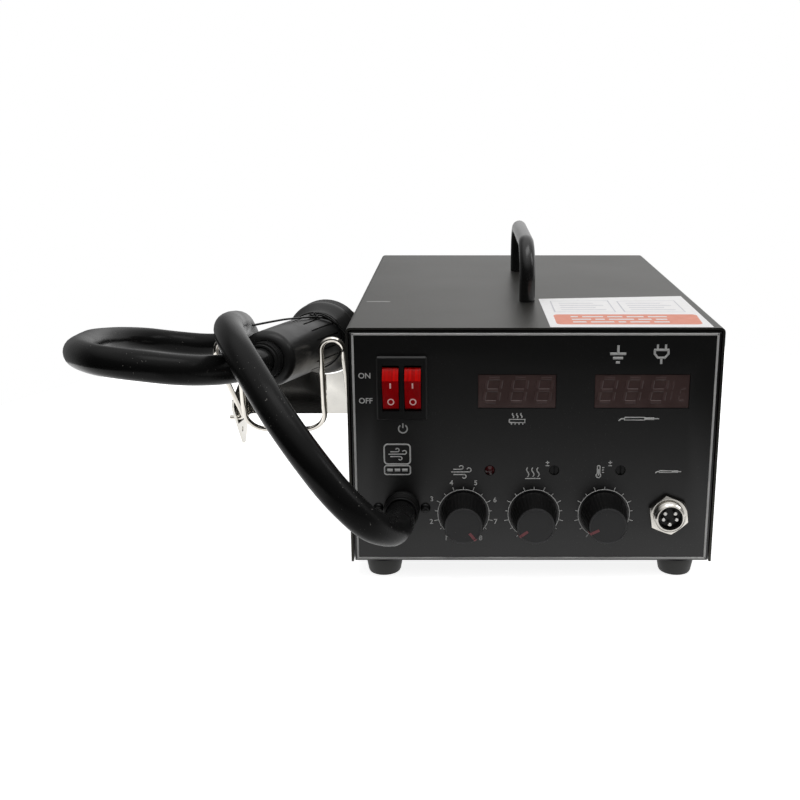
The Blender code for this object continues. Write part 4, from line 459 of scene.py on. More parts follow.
# %% [markdown]
# ## Painted steel
# The box is folded sheet steel with a satin black powder coat. Such a coat flows into a fine
# orange-peel relief, a little coarser than a millimetre, and handling leaves it slightly uneven in
# gloss. The front panel has a smoother coat than the cover, so it has a finish of its own. The
# cover has one short pale scratch near its left edge.

# %% Powder coats
SCRATCH_X = -0.0828
SCRATCH_Y = -0.0540


def powder_coat(name, shade, shine, relief, specks, scratch=False):
    finish = Finish(name)
    patch = finish.noise(22, 3)
    marks = finish.noise(1500, 0).span(0.76, 0.80) * patch.span(0.4, 0.6) * specks
    if scratch:
        where = finish.place()
        off_line = abs(finish.part(where, 1) - SCRATCH_Y + (finish.noise(90, 1) - 0.5) * 0.0012)
        along = abs(finish.part(where, 0) - SCRATCH_X)
        marks = marks + off_line.span(0.0004, 0.0014, 1.0, 0.0) * along.span(0.0060, 0.0070, 1.0, 0.0)
    finish.set("Base Color", finish.mix(marks, shade, (0.30, 0.30, 0.29)))
    finish.set("Roughness", patch.span(0.3, 0.7, shine - 0.010, shine + 0.014))
    return finish.bump(finish.noise(1300, 2, 0.6), relief, 0.6)


cover_paint = powder_coat("cover_powder_coat", (0.019, 0.0187, 0.0178), 0.38, 0.00006, 0.25, scratch=True)
cover_paint.set("Specular Tint", (1.0, 0.96, 0.82, 1.0))
panel_paint = powder_coat("panel_powder_coat", (0.0090, 0.0088, 0.0088), 0.34, 0.00002, 0.10)
handle_paint = powder_coat("handle_gloss_coat", (0.012, 0.012, 0.012), 0.22, 0.000005, 0.1)

# %% [markdown]
# ## Metals
# The holder is bent from bright nickel-plated sheet, its wire is chromed, and the socket for the
# iron is nickel. Each gets fine brushed or cast unevenness in its gloss, so that it doesn't look
# like a mirror ball. The holder's sheet is slightly bent, so its left part mirrors the dark side
# of the room. Its finish leans the surface there, and the shape stays flat.


# %% Metal finishes
def plated(name, shade, shine, streak=(1, 1, 1), spread=0.06, relief=0.000004):
    finish = Finish(name, Metallic=1.0)
    cloud = finish.noise(60, 3)
    brush = finish.noise(700, 3, 0.6, streak)
    dull = tuple(channel * 0.86 for channel in shade)
    finish.set("Base Color", finish.mix(cloud.span(0.35, 0.65), shade, dull))
    finish.set("Roughness", cloud.span(0.3, 0.7, shine, shine + spread) + brush.span(0.3, 0.7, 0.0, spread))
    return finish.bump(brush, relief, 0.6) if relief else finish


def warped_nickel():
    """Nickel-plated sheet whose left part leans back."""
    finish = plated("nickel_sheet", (0.80, 0.78, 0.73), 0.06, spread=0.02, relief=0)
    where = finish.place()
    lean = finish.part(where, 0).span(-0.1266, -0.1254, 0.33, 0.0)
    warp = (0.047 - finish.part(where, 2)) * lean
    return finish.bump(warp + finish.noise(700, 3, 0.6) * 0.000002, 1.0)


chrome = plated("chromed_wire", (0.86, 0.82, 0.75), 0.03, spread=0.03)
nickel = plated("nickel_plate", (0.84, 0.81, 0.75), 0.14)
silvered = plated("silvered_pins", (0.90, 0.89, 0.86), 0.26)
nickel_sheet = warped_nickel()
zinc_steel = plated("zinc_steel", (0.60, 0.60, 0.58), 0.30)
heater_steel = plated("heater_steel", (0.45, 0.42, 0.38), 0.28, (1, 1, 0.1))
black_steel = plated("blackened_steel", (0.030, 0.030, 0.030), 0.24)
aluminium = plated("cast_aluminium", (0.55, 0.56, 0.57), 0.42, relief=0.00002)

# %% [markdown]
# ## Other finishes
# Circuit boards are green solder mask over copper, which shows as a faint pattern of tracks. The
# transformer's winding is wrapped in yellow tape, the display windows are smoked acrylic, and the
# rockers are clear red plastic. Their top wall is painted a brighter red: painted light that stands
# for the light that gathers in it.

# %% Board, tape, acrylic and clear plastics
ROCKER_PIVOT = (-0.1145, 0.0944)
ROCKER_TILT = 14.5


def plain_plastic(name, shade, shine, grain=0.00002, **constants):
    finish = Finish(name, **constants)
    cloud = finish.noise(120, 2)
    paler = tuple(min(1.0, channel * 1.12) for channel in shade)
    finish.set("Base Color", finish.mix(cloud.span(0.35, 0.65), shade, paler))
    finish.set("Roughness", cloud.span(0.3, 0.7, shine - 0.04, shine + 0.05))
    return finish.bump(finish.noise(2200, 1), grain, 0.4)


def two_tone(name, scale, detail, first, second, shine):
    """A finish whose colour wanders between two close tones."""
    finish = Finish(name, Roughness=shine)
    return finish.set("Base Color", finish.mix(finish.noise(scale, detail).span(0.3, 0.7), first, second))


def circuit_board():
    finish = Finish("circuit_board", Roughness=0.32)
    pattern = {"distance": "MANHATTAN", "feature": "F1"}
    cells = {"Vector": finish.place(), "Scale": 260.0}
    tracks = finish.node("ShaderNodeTexVoronoi", pattern, cells, "Distance").span(0.3, 0.4)
    finish.set("Base Color", finish.mix(tracks, (0.010, 0.075, 0.025), (0.020, 0.130, 0.045)))
    return finish.bump(tracks, 0.00003, 0.5)


def rocker_red():
    """Clear red plastic: the top wall is painted a brighter red as painted light, and the flat face stays
    deep red.
    """
    finish = Finish("clear_red_plastic", Roughness=0.20, Specular_IOR_Level=0.08)
    where = finish.place()
    tilt = math.radians(ROCKER_TILT)
    forward = finish.part(where, 1) - ROCKER_PIVOT[0]
    upward = finish.part(where, 2) - ROCKER_PIVOT[1]
    # The top wall's brighter red is painted light: a painted glow for light gathering in the clear plastic.
    wall = (upward * math.cos(tilt) - forward * math.sin(tilt)).span(0.0074, 0.0082)
    cloud = finish.noise(160, 2).span(0.35, 0.65)
    streak = finish.noise(900, 2, 0.5, (1, 0.04, 0.04)).span(0.3, 0.7)
    face = finish.mix(cloud, (0.58, 0.0018, 0.005), (0.72, 0.0025, 0.007))
    painted_lit_top_wall = finish.mix(streak, (0.55, 0.001, 0.001), (0.95, 0.004, 0.002))
    return finish.set("Base Color", finish.mix(wall, face, painted_lit_top_wall))


board_green = circuit_board()
tape_yellow = plain_plastic("winding_tape", (0.62, 0.42, 0.06), 0.35)
silicone = plain_plastic("silicone", (0.60, 0.57, 0.50), 0.35)
grey_plastic = plain_plastic("display_grey", (0.085, 0.085, 0.085), 0.45)
white_plastic = plain_plastic("trimmer_white", (0.60, 0.58, 0.53), 0.45)
smoked_acrylic = plain_plastic("smoked_acrylic", (0.100, 0.062, 0.058), 0.12, 0.000002)
lamp_red = plain_plastic("lamp_red", (0.045, 0.003, 0.004), 0.14, 0.00004)
dark_plastic = plain_plastic("trimmer_dark", (0.006, 0.006, 0.006), 0.40, Specular_IOR_Level=0.3)
clear_red = rocker_red()

# %% [markdown]
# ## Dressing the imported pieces
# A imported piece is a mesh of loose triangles, so it would be shaded flat. Its shape is right, and
# only its shading isn't. A copy is merged, its faces are shaded smooth below an angle, and the copy
# stands for the piece.

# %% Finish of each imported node
FINISHES = {
    "black_powder_coat": cover_paint, "zinc_steel": zinc_steel, "rubber": grip_rubber,
    "black_plastic": black_plastic, "red_plastic": clear_red, "smoked_acrylic": smoked_acrylic,
    "grey_plastic": grey_plastic, "circuit_board": board_green, "white_plastic": white_plastic,
    "red_lamp": lamp_red, "nickel": nickel, "chrome": chrome, "black_screw": black_steel,
    "winding_tape": tape_yellow, "cast_aluminium": aluminium, "silicone": silicone,
    "heater_steel": heater_steel, "cord": tie_cloth,
}
OWN_FINISH = {
    "chassis_tray": panel_paint, "trimmer_rotor_left": dark_plastic, "trimmer_rotor_right": dark_plastic,
    "holder_bracket": nickel_sheet,
}
REMODELLED = (
    "air_hose", "tie_cord", "carry_handle", "holder_wire", "knob_", "iron_socket_", "hose_", "gland_screw_",
    "foot_", "cover_screw_", "bracket_screw_", "grip_", "heater_", "nozzle",
)
slot_of = {part["node"]: part["material_slot"] for part in frame["record"]["subparts"]}


def settle(item, finish, node):
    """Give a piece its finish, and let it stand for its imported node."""
    wear(item, finish)
    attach(item, nodes[node]["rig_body"])
    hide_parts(node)
    return item


kept = [node for node in sorted(nodes) if not node.startswith(REMODELLED)]
for node in kept:
    copy = bpy.data.objects.new("finished_" + node, nodes[node].data.copy())
    bpy.context.scene.collection.objects.link(copy)
    pick(copy)
    bpy.ops.mesh.customdata_custom_splitnormals_clear()
    cleaned(copy, 0.000005, outward=False, angle=32)
    settle(copy, OWN_FINISH.get(node) or FINISHES[slot_of[node]], node)
print("smoothed copies:", len(kept))

# %% [markdown]
# ## Turned pieces, bent bars and prints
# Knobs, feet, screw heads, the socket and most of the handpiece are turned shapes. A profile of
# radius and height pairs becomes a line of edges, and the Spin operator sweeps it round the Z
# axis. Bars and wires are tubes along a line whose corners are rounded first. A print is a flat
# drawing of thin strokes. All three are drawn in millimetres, apart from the bars' corners.

# %% Lathe, bends, selections and cuts
INK_PRESS = 0.05


def lathe(name, profile, steps=64, closed=False, angle=35):
    """A profile of radius and height pairs in millimetres, spun about the Z axis."""
    line_of(name, [([(radius * MM, 0, height * MM) for radius, height in profile], 1.0)], closed)
    bpy.ops.object.convert(target="MESH")
    start_edit(bpy.context.object)
    bpy.ops.mesh.spin(steps=steps, angle=2 * math.pi, center=(0, 0, 0), axis=(0, 0, 1))
    return cleaned(bpy.context.object, 0.000002, angle=angle)


def drawn(name, strokes, press=INK_PRESS):
    """Strokes, each a list of points in millimetres and a width, as one pressed mesh in XY."""
    runs = [([(x * MM, y * MM, 0) for x, y in points], width) for points, width in strokes]
    item = bevelled(line_of(name, runs), MM / 2, 1)
    item.data.transform(Matrix.Diagonal((1, 1, press, 1)))
    return item


def choose(item, test, kind="faces"):
    """Enter edit mode with only the faces or vertices that pass a test selected."""
    pick(item)
    bpy.ops.object.mode_set(mode="EDIT")
    bpy.ops.mesh.select_mode(type="VERT" if kind == "vertices" else "FACE")
    bpy.ops.mesh.select_all(action="DESELECT")
    bpy.ops.object.mode_set(mode="OBJECT")
    for element in item.data.vertices if kind == "vertices" else item.data.polygons:
        element.select = bool(test(element))
    bpy.ops.object.mode_set(mode="EDIT")


def modified(item, kind, **settings):
    """Add one modifier to a mesh and apply it."""
    pick(item)
    change = item.modifiers.new(kind.lower(), kind)
    for label, value in settings.items():
        setattr(change, label, value)
    bpy.ops.object.modifier_apply(modifier=change.name)
    return item


def carved(item, tool, operation="DIFFERENCE"):
    """Cut one mesh with another, or keep what they share, and drop the tool."""
    modified(item, "BOOLEAN", object=tool, operation=operation, solver="EXACT")
    bpy.data.objects.remove(tool)
    return item


def block(name, size, centre):
    """A cutting block in millimetres."""
    deselect()
    bpy.ops.mesh.primitive_cube_add(size=1, location=(0, 0, 0))
    stretch = Matrix.Diagonal((*[value * MM for value in size], 1))
    return placed(named(name), [value * MM for value in centre], stretch)


def joined(name, items):
    """Several meshes as one."""
    pick(items[0])
    for item in items:
        item.select_set(True)
    bpy.ops.object.join()
    return named(name)


def bent(corners, radii, steps=10):
    """Corner points joined by straight runs, with a round bend of its own radius at each corner."""
    spots = [Vector(corner) for corner in corners]
    points = [spots[0]]
    for before, corner, after, radius in zip(spots, spots[1:], spots[2:], radii):
        back = (before - corner).normalized()
        ahead = (after - corner).normalized()
        half = back.angle(ahead) / 2
        centre = corner + (back + ahead).normalized() * radius / math.sin(half)
        start = corner + back * radius / math.tan(half) - centre
        finish = corner + ahead * radius / math.tan(half) - centre
        axis = start.cross(finish).normalized()
        for number in range(steps + 1):
            points.append(centre + Quaternion(axis, (math.pi - 2 * half) * number / steps) @ start)
    return points + [spots[-1]]


# %% [markdown]
# ## Carrying handle and holder wire
# The handle is a 9 mm round bar bent into a bow, in a glossier black than the cover. The holder's
# wire is bent from one length: its ends sit in the bracket's wings, it loops into two ears, and
# the low part between them carries the grip.

# %% Handle and wire
HANDLE_CORNERS = [(0, -0.053, 0.1253), (0, -0.053, 0.1555), (0, 0.053, 0.1555), (0, 0.053, 0.1253)]
WIRE_CORNERS = [
    (-0.1815, -0.0005, 0.0410), (-0.1732, -0.0005, 0.0410), (-0.1766, -0.0475, 0.0920),
    (-0.1766, -0.0475, 0.1019), (-0.1637, -0.0475, 0.1019), (-0.1637, -0.0425, 0.0620),
    (-0.1637, -0.0365, 0.0450), (-0.1167, -0.0365, 0.0450), (-0.1167, -0.0425, 0.0620),
    (-0.1167, -0.0475, 0.1019), (-0.1038, -0.0475, 0.1019), (-0.1038, -0.0475, 0.0920),
    (-0.1059, -0.0005, 0.0410), (-0.0946, -0.0005, 0.0410),
]
WIRE_BENDS = (0.003, 0.008, 0.00644, 0.00644, 0.020, 0.012)
handle = tube("handle_bar", bent(HANDLE_CORNERS, (0.019, 0.019), 16), 0.0044, 8)
settle(handle, handle_paint, "carry_handle")
wire_line = bent(WIRE_CORNERS, WIRE_BENDS + WIRE_BENDS[::-1], 12)
settle(tube("cradle_wire", wire_line, 0.0015), chrome, "holder_wire")
print("wire length:", round(length_of(wire_line), 3))

# %% [markdown]
# ## Feet and screws
# The rubber feet taper and are hollow under their screws. A screw head is turned, and two crossed
# blocks cut its recess, which also shows which way the light falls.

# %% Feet
FOOT_PROFILE = [
    (0, -0.3), (9.4, -0.3), (9.9, -0.6), (10.0, -1.2), (8.6, -8.8), (8.2, -9.6), (7.4, -10.0), (4.2, -10.0),
    (3.6, -9.4), (3.4, -8.0), (0, -8.0),
]
for corner in ("front_left", "rear_left", "front_right", "rear_right"):
    middle = middle_of("foot_" + corner)
    foot = placed(lathe("rubber_foot_" + corner, FOOT_PROFILE, 48), (middle.x, middle.y, 0))
    settle(foot, foot_rubber, "foot_" + corner)

# %% Screws
SCREW_HEAD = [(0, 1.3), (1.3, 1.3), (2.1, 1.05), (2.55, 0.5), (2.6, 0), (1.5, 0), (1.5, -1.5), (0, -1.5)]


def screw(name, node, finish, place, aim, turn):
    """A pan head with a cross recess, aimed out of the sheet."""
    head = lathe(name, SCREW_HEAD, 32)
    for size in ((0.62, 3.0, 2.0), (3.0, 0.62, 2.0)):
        carved(head, block("slot", size, (0, 0, 1.6)))
    bpy.ops.object.shade_smooth_by_angle(angle=math.radians(35))
    placed(head, place, aimed(aim) @ Matrix.Rotation(math.radians(turn), 4, "Z"))
    return settle(head, finish, node)


for side, x, turn in (("left", -0.0793, 20), ("right", -0.0551, 52)):
    place = (x, FRONT - 0.0003, 0.0300)
    screw(f"outlet_screw_{side}", f"gland_screw_{side}", black_steel, place, (0, -1, 0), turn)
for sign, side in ((-1, "left"), (1, "right")):
    for end in ("front", "rear"):
        node = f"cover_screw_{end}_{side}"
        place = (sign * (SIDE + 0.0003), middle_of(node).y, middle_of(node).z)
        screw(f"side_screw_{end}_{side}", node, zinc_steel, place, (sign, 0, 0), 30)
for end in ("front", "rear"):
    node = f"bracket_screw_{end}"
    place = (-0.0961, middle_of(node).y, middle_of(node).z)
    screw(f"holder_screw_{end}", node, zinc_steel, place, (-1, 0, 0), 10)

# %% [markdown]
# ## The knobs
# Each knob is a cone with a fine fluted skirt and a flat face. It is turned with four columns of
# faces to a flute, and every fourth column of points is scaled inwards. The pointer is a dusty red
# strip that runs over the edge of the face.

# %% Knobs
KNOB_FLUTES = 36
KNOB_TURNS = {"air": 141.0, "heat": -125.0, "temperature": -115.0}
KNOB_PROFILE = [
    (0, 16.75), (8.6, 16.75), (9.0, 17.1), (9.45, 16.95), (9.8, 16.2), (10.1, 14.0), (11.75, 1.6),
    (12.0, 0.9), (11.9, 0.6), (6.6, 0.6), (6.6, 5.8), (3.3, 5.8), (3.3, 14.8), (0, 14.8),
]
POINTER_FOLDS = ((0, 0.00012, 0.00034), (0, 0.00048, -0.00018), (0, 0.00042, -0.0008), (0, 0.00042, -0.0030))


def fluted(name):
    """A knob with every fourth column of its skirt's points drawn inwards."""
    knob = lathe(name, KNOB_PROFILE, 4 * KNOB_FLUTES, angle=28)
    step = 2 * math.pi / (4 * KNOB_FLUTES)

    def in_flute(vert):
        reach = math.hypot(vert.co.x, vert.co.y)
        column = round(math.atan2(vert.co.y, vert.co.x) / step) % 4
        return column == 0 and reach > 0.0097 and vert.co.z > 0.001

    choose(knob, in_flute, "vertices")
    bpy.ops.transform.resize(value=(0.968, 0.968, 1))
    bpy.ops.object.mode_set(mode="OBJECT")
    return knob


def pointer(name):
    """A strip along the face that is folded down over the knob's edge."""
    deselect()
    bpy.ops.mesh.primitive_plane_add(size=1, location=(0, 0, 0))
    strip = placed(named(name), (0, 0.00685, 0.01678), Matrix.Diagonal((0.0014, 0.0041, 1, 1)))
    for shift in POINTER_FOLDS:
        edge = max(vert.co.y for vert in strip.data.vertices)
        choose(strip, lambda vert: vert.co.y > edge - 0.00001, "vertices")
        bpy.ops.mesh.extrude_region_move(TRANSFORM_OT_translate={"value": shift})
        bpy.ops.object.mode_set(mode="OBJECT")
    return modified(cleaned(strip), "SOLIDIFY", thickness=0.0002, offset=0)


pointer_red = plain_plastic("pointer_red", (0.30, 0.10, 0.11), 0.60)
for label, x in KNOB_XS.items():
    turn = PANEL_TURN @ Matrix.Rotation(-math.radians(KNOB_TURNS[label]), 4, "Z")
    cap = placed(fluted("control_knob_" + label), (x, FRONT, KNOB_Z), turn)
    settle(cap, knob_plastic, "knob_" + label)
    mark = placed(pointer("pointer_" + label), (x, FRONT, KNOB_Z), turn)
    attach(wear(mark, pointer_red), nodes["knob_" + label]["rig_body"])
print("knob points:", len(cap.data.vertices))

# %% [markdown]
# ## Marks on the rockers
# Each rocker has a bar for on and a ring for off, printed in pale ink on its flat face. They are
# drawn flat, moved out to the face, and tilted with the rocker about its pivot. The ink is given a
# faint glow of its own, painted light that stands for light carried through the clear plastic.

# %% Rocker marks
FACE_REACH = 0.0116
ROCKER_XS = {"left": -0.071825, "right": -0.060775}
# The ink's emission is a painted glow: the marks shine faintly though nothing in the switch is lit.
mark_ink_painted_glow = plain_plastic(
    "mark_ink_painted_glow", (0.95, 0.64, 0.62), 0.40, 0.000002, Emission_Color=(1.0, 0.52, 0.50, 1.0),
    Emission_Strength=0.18,
)
ring = [(1.45 * math.sin(math.radians(a)), -4.1 + 1.6 * math.cos(math.radians(a))) for a in range(0, 361, 10)]
tilted = Matrix.Rotation(math.radians(ROCKER_TILT), 4, "X")
on_face = Matrix.Translation((0, -FACE_REACH - 0.00002, 0)) @ PANEL_TURN
for side, x in ROCKER_XS.items():
    marks = drawn("rocker_marks_" + side, [([(0, 3.7), (0, 6.7)], 0.75), (ring, 0.6)])
    placed(marks, (x, *ROCKER_PIVOT), tilted @ on_face)
    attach(wear(marks, mark_ink_painted_glow), nodes["rocker_" + side]["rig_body"])

# %% [markdown]
# ## The iron's socket
# A threaded nickel shell stands out of a hexagon nut. The nut is the part that a hexagonal prism
# and a chamfered disc share, so its corners are cut off in a cone as on a real nut. Five round
# pins stand in the black insert.

# %% Socket
SOCKET_PLACE = (0.07025, FRONT, 0.02674)
PIN_RING = 3.5 * MM
PIN_TURNS = (42, 138, 195, 270, 345)
PIN_PROFILE = [(0, 6.3), (0.75, 6.3), (0.95, 6.1), (1.0, 5.7), (1.0, 3.5), (0, 3.5)]
thread = []
for number in range(6):
    thread += [(7.75, 5.9 - 0.5 * number), (7.45, 5.65 - 0.5 * number)]
shell_profile = [
    (6.3, 6.9), (6.4, 7.0), (6.85, 7.0), (7.1, 6.8), (7.5, 6.2), *thread,
    (7.6, 2.6), (7.6, -2.6), (6.3, -2.6),
]
shell = lathe("socket_shell", shell_profile, 96, closed=True, angle=25)
deselect()
bpy.ops.mesh.primitive_cylinder_add(vertices=6, radius=0.0108, depth=0.0028, location=(0, 0, 0))
prism = placed(named("socket_nut"), (0, 0, 0.0017), Matrix.Rotation(math.radians(9), 4, "Z"))
disc = lathe("nut_chamfer", [(7.85, 0.3), (11.0, 0.3), (11.0, 2.2), (9.3, 3.1), (7.85, 3.1)], 96, closed=True)
nut = carved(prism, disc, "INTERSECT")
bpy.ops.object.shade_smooth_by_angle(angle=math.radians(25))
insert = lathe("socket_insert", [(0, 3.6), (5.9, 3.6), (5.9, 5.9), (6.25, 5.9), (6.25, -9.0), (0, -9.0)], 64)
pins = []
for turn in map(math.radians, PIN_TURNS):
    spot = (PIN_RING * math.cos(turn), PIN_RING * math.sin(turn), 0)
    pins.append(placed(lathe("pin", PIN_PROFILE, 20), spot))
pins = joined("socket_pins", pins)
for item in (shell, nut, insert, pins):
    placed(item, SOCKET_PLACE, PANEL_TURN)
settle(shell, nickel, "iron_socket_shell")
settle(nut, nickel, "iron_socket_nut")
settle(insert, black_plastic, "iron_socket_insert")
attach(wear(pins, silvered), "station")

# %% [markdown]
# ## Hose outlet and lamp
# The outlet is a ribbed rubber sleeve. The lamp is a small lens with a faceted inside, which is
# why its dome is turned in few steps and its facets stay sharp.

# %% Outlet and lamp
sleeve = [(7.85, 9.0), (8.5, 9.0), (8.9, 8.6), (9.0, 8.0)]
for number in range(3):
    drop = 2.2 * number
    sleeve += [(9.0, 6.9 - drop), (8.6, 6.5 - drop), (8.6, 6.1 - drop), (9.0, 5.7 - drop)]
sleeve += [(9.3, 0.6), (9.3, 0.05), (9.0, -1.5), (7.85, -1.5)]
gland = placed(lathe("outlet_sleeve", sleeve, 72, closed=True), (-0.0672, FRONT, 0.0300), PANEL_TURN)
settle(gland, gland_rubber, "hose_gland")
lens_profile = [(0, 1.4), (1.0, 1.15), (1.9, 0.5), (2.4, 0.2), (2.5, 0.0), (2.5, -1.2), (0, -1.2)]
lens = placed(lathe("lamp_lens", lens_profile, 12, angle=10), (-0.0220, FRONT, 0.0505), PANEL_TURN)
settle(lens, lamp_red, "heater_lamp")

# %% [markdown]
# ## The handpiece
# Grip, collar, relief, heater tube and nozzle share one axis, so they are turned about Z and then
# laid along it together. The grip's sixteen grooves are single columns of faces, sunk with the
# Inset operator. The collar's rim has fine bands that catch the light.

# %% Handpiece
HANDPIECE_TURN = aimed(HANDPIECE_AIM)
GROOVES = 16
GROOVE_COLUMNS = 6
NOZZLE_PROFILE = [
    (4.0, 217.3), (4.8, 217.3), (5.0, 217.1), (5.0, 207.7), (5.3, 206.9), (12.0, 190.2), (12.3, 189.0),
    (12.3, 180.6), (11.9, 180.3), (11.9, 179.7), (12.3, 179.4), (12.3, 175.2), (12.1, 175.0), (11.3, 175.0),
    (11.3, 189.3), (10.3, 189.3), (4.0, 207.3),
]


def on_handpiece(item):
    return placed(item, HANDPIECE_REAR, HANDPIECE_TURN)


def is_groove(face):
    """True for the wall's faces in one column of six, along the grooved part of the grip."""
    width = 2 * math.pi / (GROOVES * GROOVE_COLUMNS)
    column = int(math.floor(math.atan2(face.center.y, face.center.x) / width)) % GROOVE_COLUMNS
    reach = math.hypot(face.center.x, face.center.y)
    return column == 0 and 0.050 < face.center.z < 0.097 and reach > 0.0155


turns = [math.radians(angle) for angle in range(0, 91, 10)]
nose = [(10.6 + 4.9 * math.sin(turn), 4.9 - 4.9 * math.cos(turn)) for turn in turns]
grip_profile = [(10.6, 9.0), *nose, (16.3, 50.0), (17.1, 97.0), (17.3, 104.6), (12.0, 104.6)]
grip = lathe("grip_body", grip_profile, GROOVES * GROOVE_COLUMNS)
choose(grip, is_groove)
bpy.ops.mesh.inset(thickness=0.0001, depth=-0.0009, use_individual=True)
bpy.ops.object.mode_set(mode="OBJECT")
bpy.ops.object.shade_smooth_by_angle(angle=math.radians(35))
settle(on_handpiece(grip), grip_rubber, "grip_shell")

bands = []
for number in range(9):
    crest = 23.3 + 0.1 * number
    start = 117.9 + 1.2 * number
    bands += [(crest, start), (crest - 0.3, start + 0.25), (crest - 0.3, start + 0.45), (crest, start + 0.7)]
collar_profile = [
    (11.3, 104.9), (17.9, 104.9), (18.5, 107.2), (19.8, 110.0), (21.6, 112.6), (22.6, 114.4), (23.1, 116.2),
    (23.3, 117.4), *bands, (24.2, 128.2), (23.7, 128.7), (11.3, 128.7),
]
collar = lathe("collar_guard", collar_profile, 96, closed=True, angle=50)
settle(on_handpiece(collar), collar_rubber, "grip_collar")

relief_profile = [(7.9, 12.0), (9.2, 12.0), (9.2, 0.4)]
for number in range(4):
    drop = 2.2 * number
    relief_profile += [(10.2, -drop), (10.2, -0.9 - drop), (9.1, -1.1 - drop), (9.1, -1.9 - drop)]
relief_profile += [(8.9, -8.8), (7.9, -9.0)]
relief = lathe("hose_boot", relief_profile, 64, closed=True)
settle(on_handpiece(relief), grip_rubber, "hose_relief")

barrel = lathe("heater_tube", [(10.1, 189.0), (11.0, 189.0), (11.0, 128.9), (10.1, 128.9)], 64, closed=True)
settle(on_handpiece(barrel), heater_steel, "heater_barrel")
nozzle = lathe("air_nozzle", NOZZLE_PROFILE, 64, closed=True)
settle(on_handpiece(nozzle), heater_steel, "nozzle")
print("nozzle size:", [round(value, 4) for value in nozzle.dimensions])

# %% [markdown]
# ## Loop and knot of the tie cord
# The cord is tied round the grip just behind the collar. Its loop lies on the rubber and its knot
# is one small overhand knot on top.

# %% Loop and knot
KNOT_PLACE = (-0.1262, -0.0022, 0.1062)
TAIL_ROUTE = [
    (-0.1262, -0.0022, 0.1066), (-0.1225, 0.0010, 0.1058), (-0.1180, 0.0052, 0.1022),
    (-0.1140, 0.0090, 0.0982), (-0.1105, 0.0110, 0.0942), (-0.1082, 0.0118, 0.0905),
]
loop_points = []
for number in range(48):
    turn = 2 * math.pi * number / 48
    lift = (17.75 + 0.12 * math.sin(3 * turn)) * MM
    loop_points.append((lift * math.cos(turn), lift * math.sin(turn), 0.1012 + 0.0008 * math.sin(2 * turn)))
loop = on_handpiece(tube("tie_loop", loop_points, TIE_RADIUS, 3, closed=True))
knot_points = []
for number in range(60):
    turn = 2 * math.pi * number / 60
    across = 0.00085 * (math.sin(turn) + 2 * math.sin(2 * turn))
    upward = 0.00085 * (math.cos(turn) - 2 * math.cos(2 * turn))
    knot_points.append((across, upward, -0.0011 * math.sin(3 * turn)))
knot = placed(tube("tie_knot", knot_points, TIE_RADIUS, 3, closed=True), KNOT_PLACE, aimed((0.2, -0.4, 0.9)))
tail = tube("tie_tail", smooth_route(TAIL_ROUTE, 0.002), TIE_RADIUS, 3)
for item in (loop, knot, tail):
    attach(wear(item, tie_cloth), "handpiece")

# %% [markdown]
# ## Printing on the panel
# The border, the scales and the signs are screen-printed in a light grey ink. Ink is a real, very
# thin layer, so each print is a mesh: strokes are drawn as curves with a round bevel, made a mesh,
# and pressed flat until they are a few hundredths of a millimetre thick.

# %% Strokes of ink
INK_LIFT = 0.00002
LETTER_BOLDNESS = 0.00007
ink = two_tone("screen_ink", 160, 3, (0.72, 0.72, 0.71), (0.86, 0.86, 0.84), 0.55)


def circle_points(x, y, radius, start=0.0, end=360.0, step=6.0):
    """Points on an arc, clockwise from straight up, in millimetres."""
    count = max(2, int(abs(end - start) / step) + 1)
    turns = [math.radians(start + (end - start) * number / (count - 1)) for number in range(count)]
    return [(x + radius * math.sin(turn), y + radius * math.cos(turn)) for turn in turns]


def on_panel(item):
    """Stand a flat drawing up on the front panel."""
    return placed(item, (0, FRONT - INK_LIFT, 0), PANEL_TURN)


def lettered(name, text, size, x, y):
    """A plain numeral or word, centred, as a thin mesh in XY."""
    deselect()
    bpy.ops.object.text_add(location=(0, 0, 0))
    letters = named(name).data
    letters.body = text
    letters.size = size * MM
    letters.align_x = "CENTER"
    letters.align_y = "CENTER"
    letters.extrude = 0.00002
    letters.offset = LETTER_BOLDNESS
    letters.resolution_u = 4
    bpy.ops.object.convert(target="MESH")
    return placed(bpy.context.object, (x * MM, y * MM, 0))


# %% [markdown]
# ## Border and dial scales
# A thin line frames the panel. Each knob has an arc of 292 degrees with fifteen ticks. Only the
# air dial has numerals, from 1 to 8, at every second tick.

# %% Border, scales and numerals
BORDER = (-90.5, 1.9, 90.5, 121.7)
BORDER_WIDTH = 1.15
DIAL_CENTRES = {label: (x / MM, KNOB_Z / MM) for label, x in KNOB_XS.items()}
DIAL_RADIUS = 13.25
DIAL_REACH = 146.0
LONG_TICK = 15.6
SHORT_TICK = 14.8
NUMERAL_PLACES = (
    (-9.0, -13.6), (-16.6, -4.4), (-16.3, 8.1), (-6.2, 16.9),
    (6.3, 16.9), (16.2, 7.5), (16.6, -4.4), (8.9, -13.6),
)
low_x, low_z, high_x, high_z = BORDER
border_strokes = [([(low_x - 0.5, z), (high_x + 0.5, z)], BORDER_WIDTH) for z in (low_z, high_z)]
border_strokes += [([(x, low_z - 0.5), (x, high_z + 0.5)], BORDER_WIDTH) for x in (low_x, high_x)]
scale_strokes = []
for centre_x, centre_z in DIAL_CENTRES.values():
    scale_strokes.append((circle_points(centre_x, centre_z, DIAL_RADIUS, -DIAL_REACH, DIAL_REACH, 4), 0.42))
    for number in range(15):
        turn = math.radians(-DIAL_REACH + number * 2 * DIAL_REACH / 14)
        reaches = (DIAL_RADIUS, SHORT_TICK if number % 2 else LONG_TICK)
        ends = [(centre_x + reach * math.sin(turn), centre_z + reach * math.cos(turn)) for reach in reaches]
        scale_strokes.append((ends, 0.40))
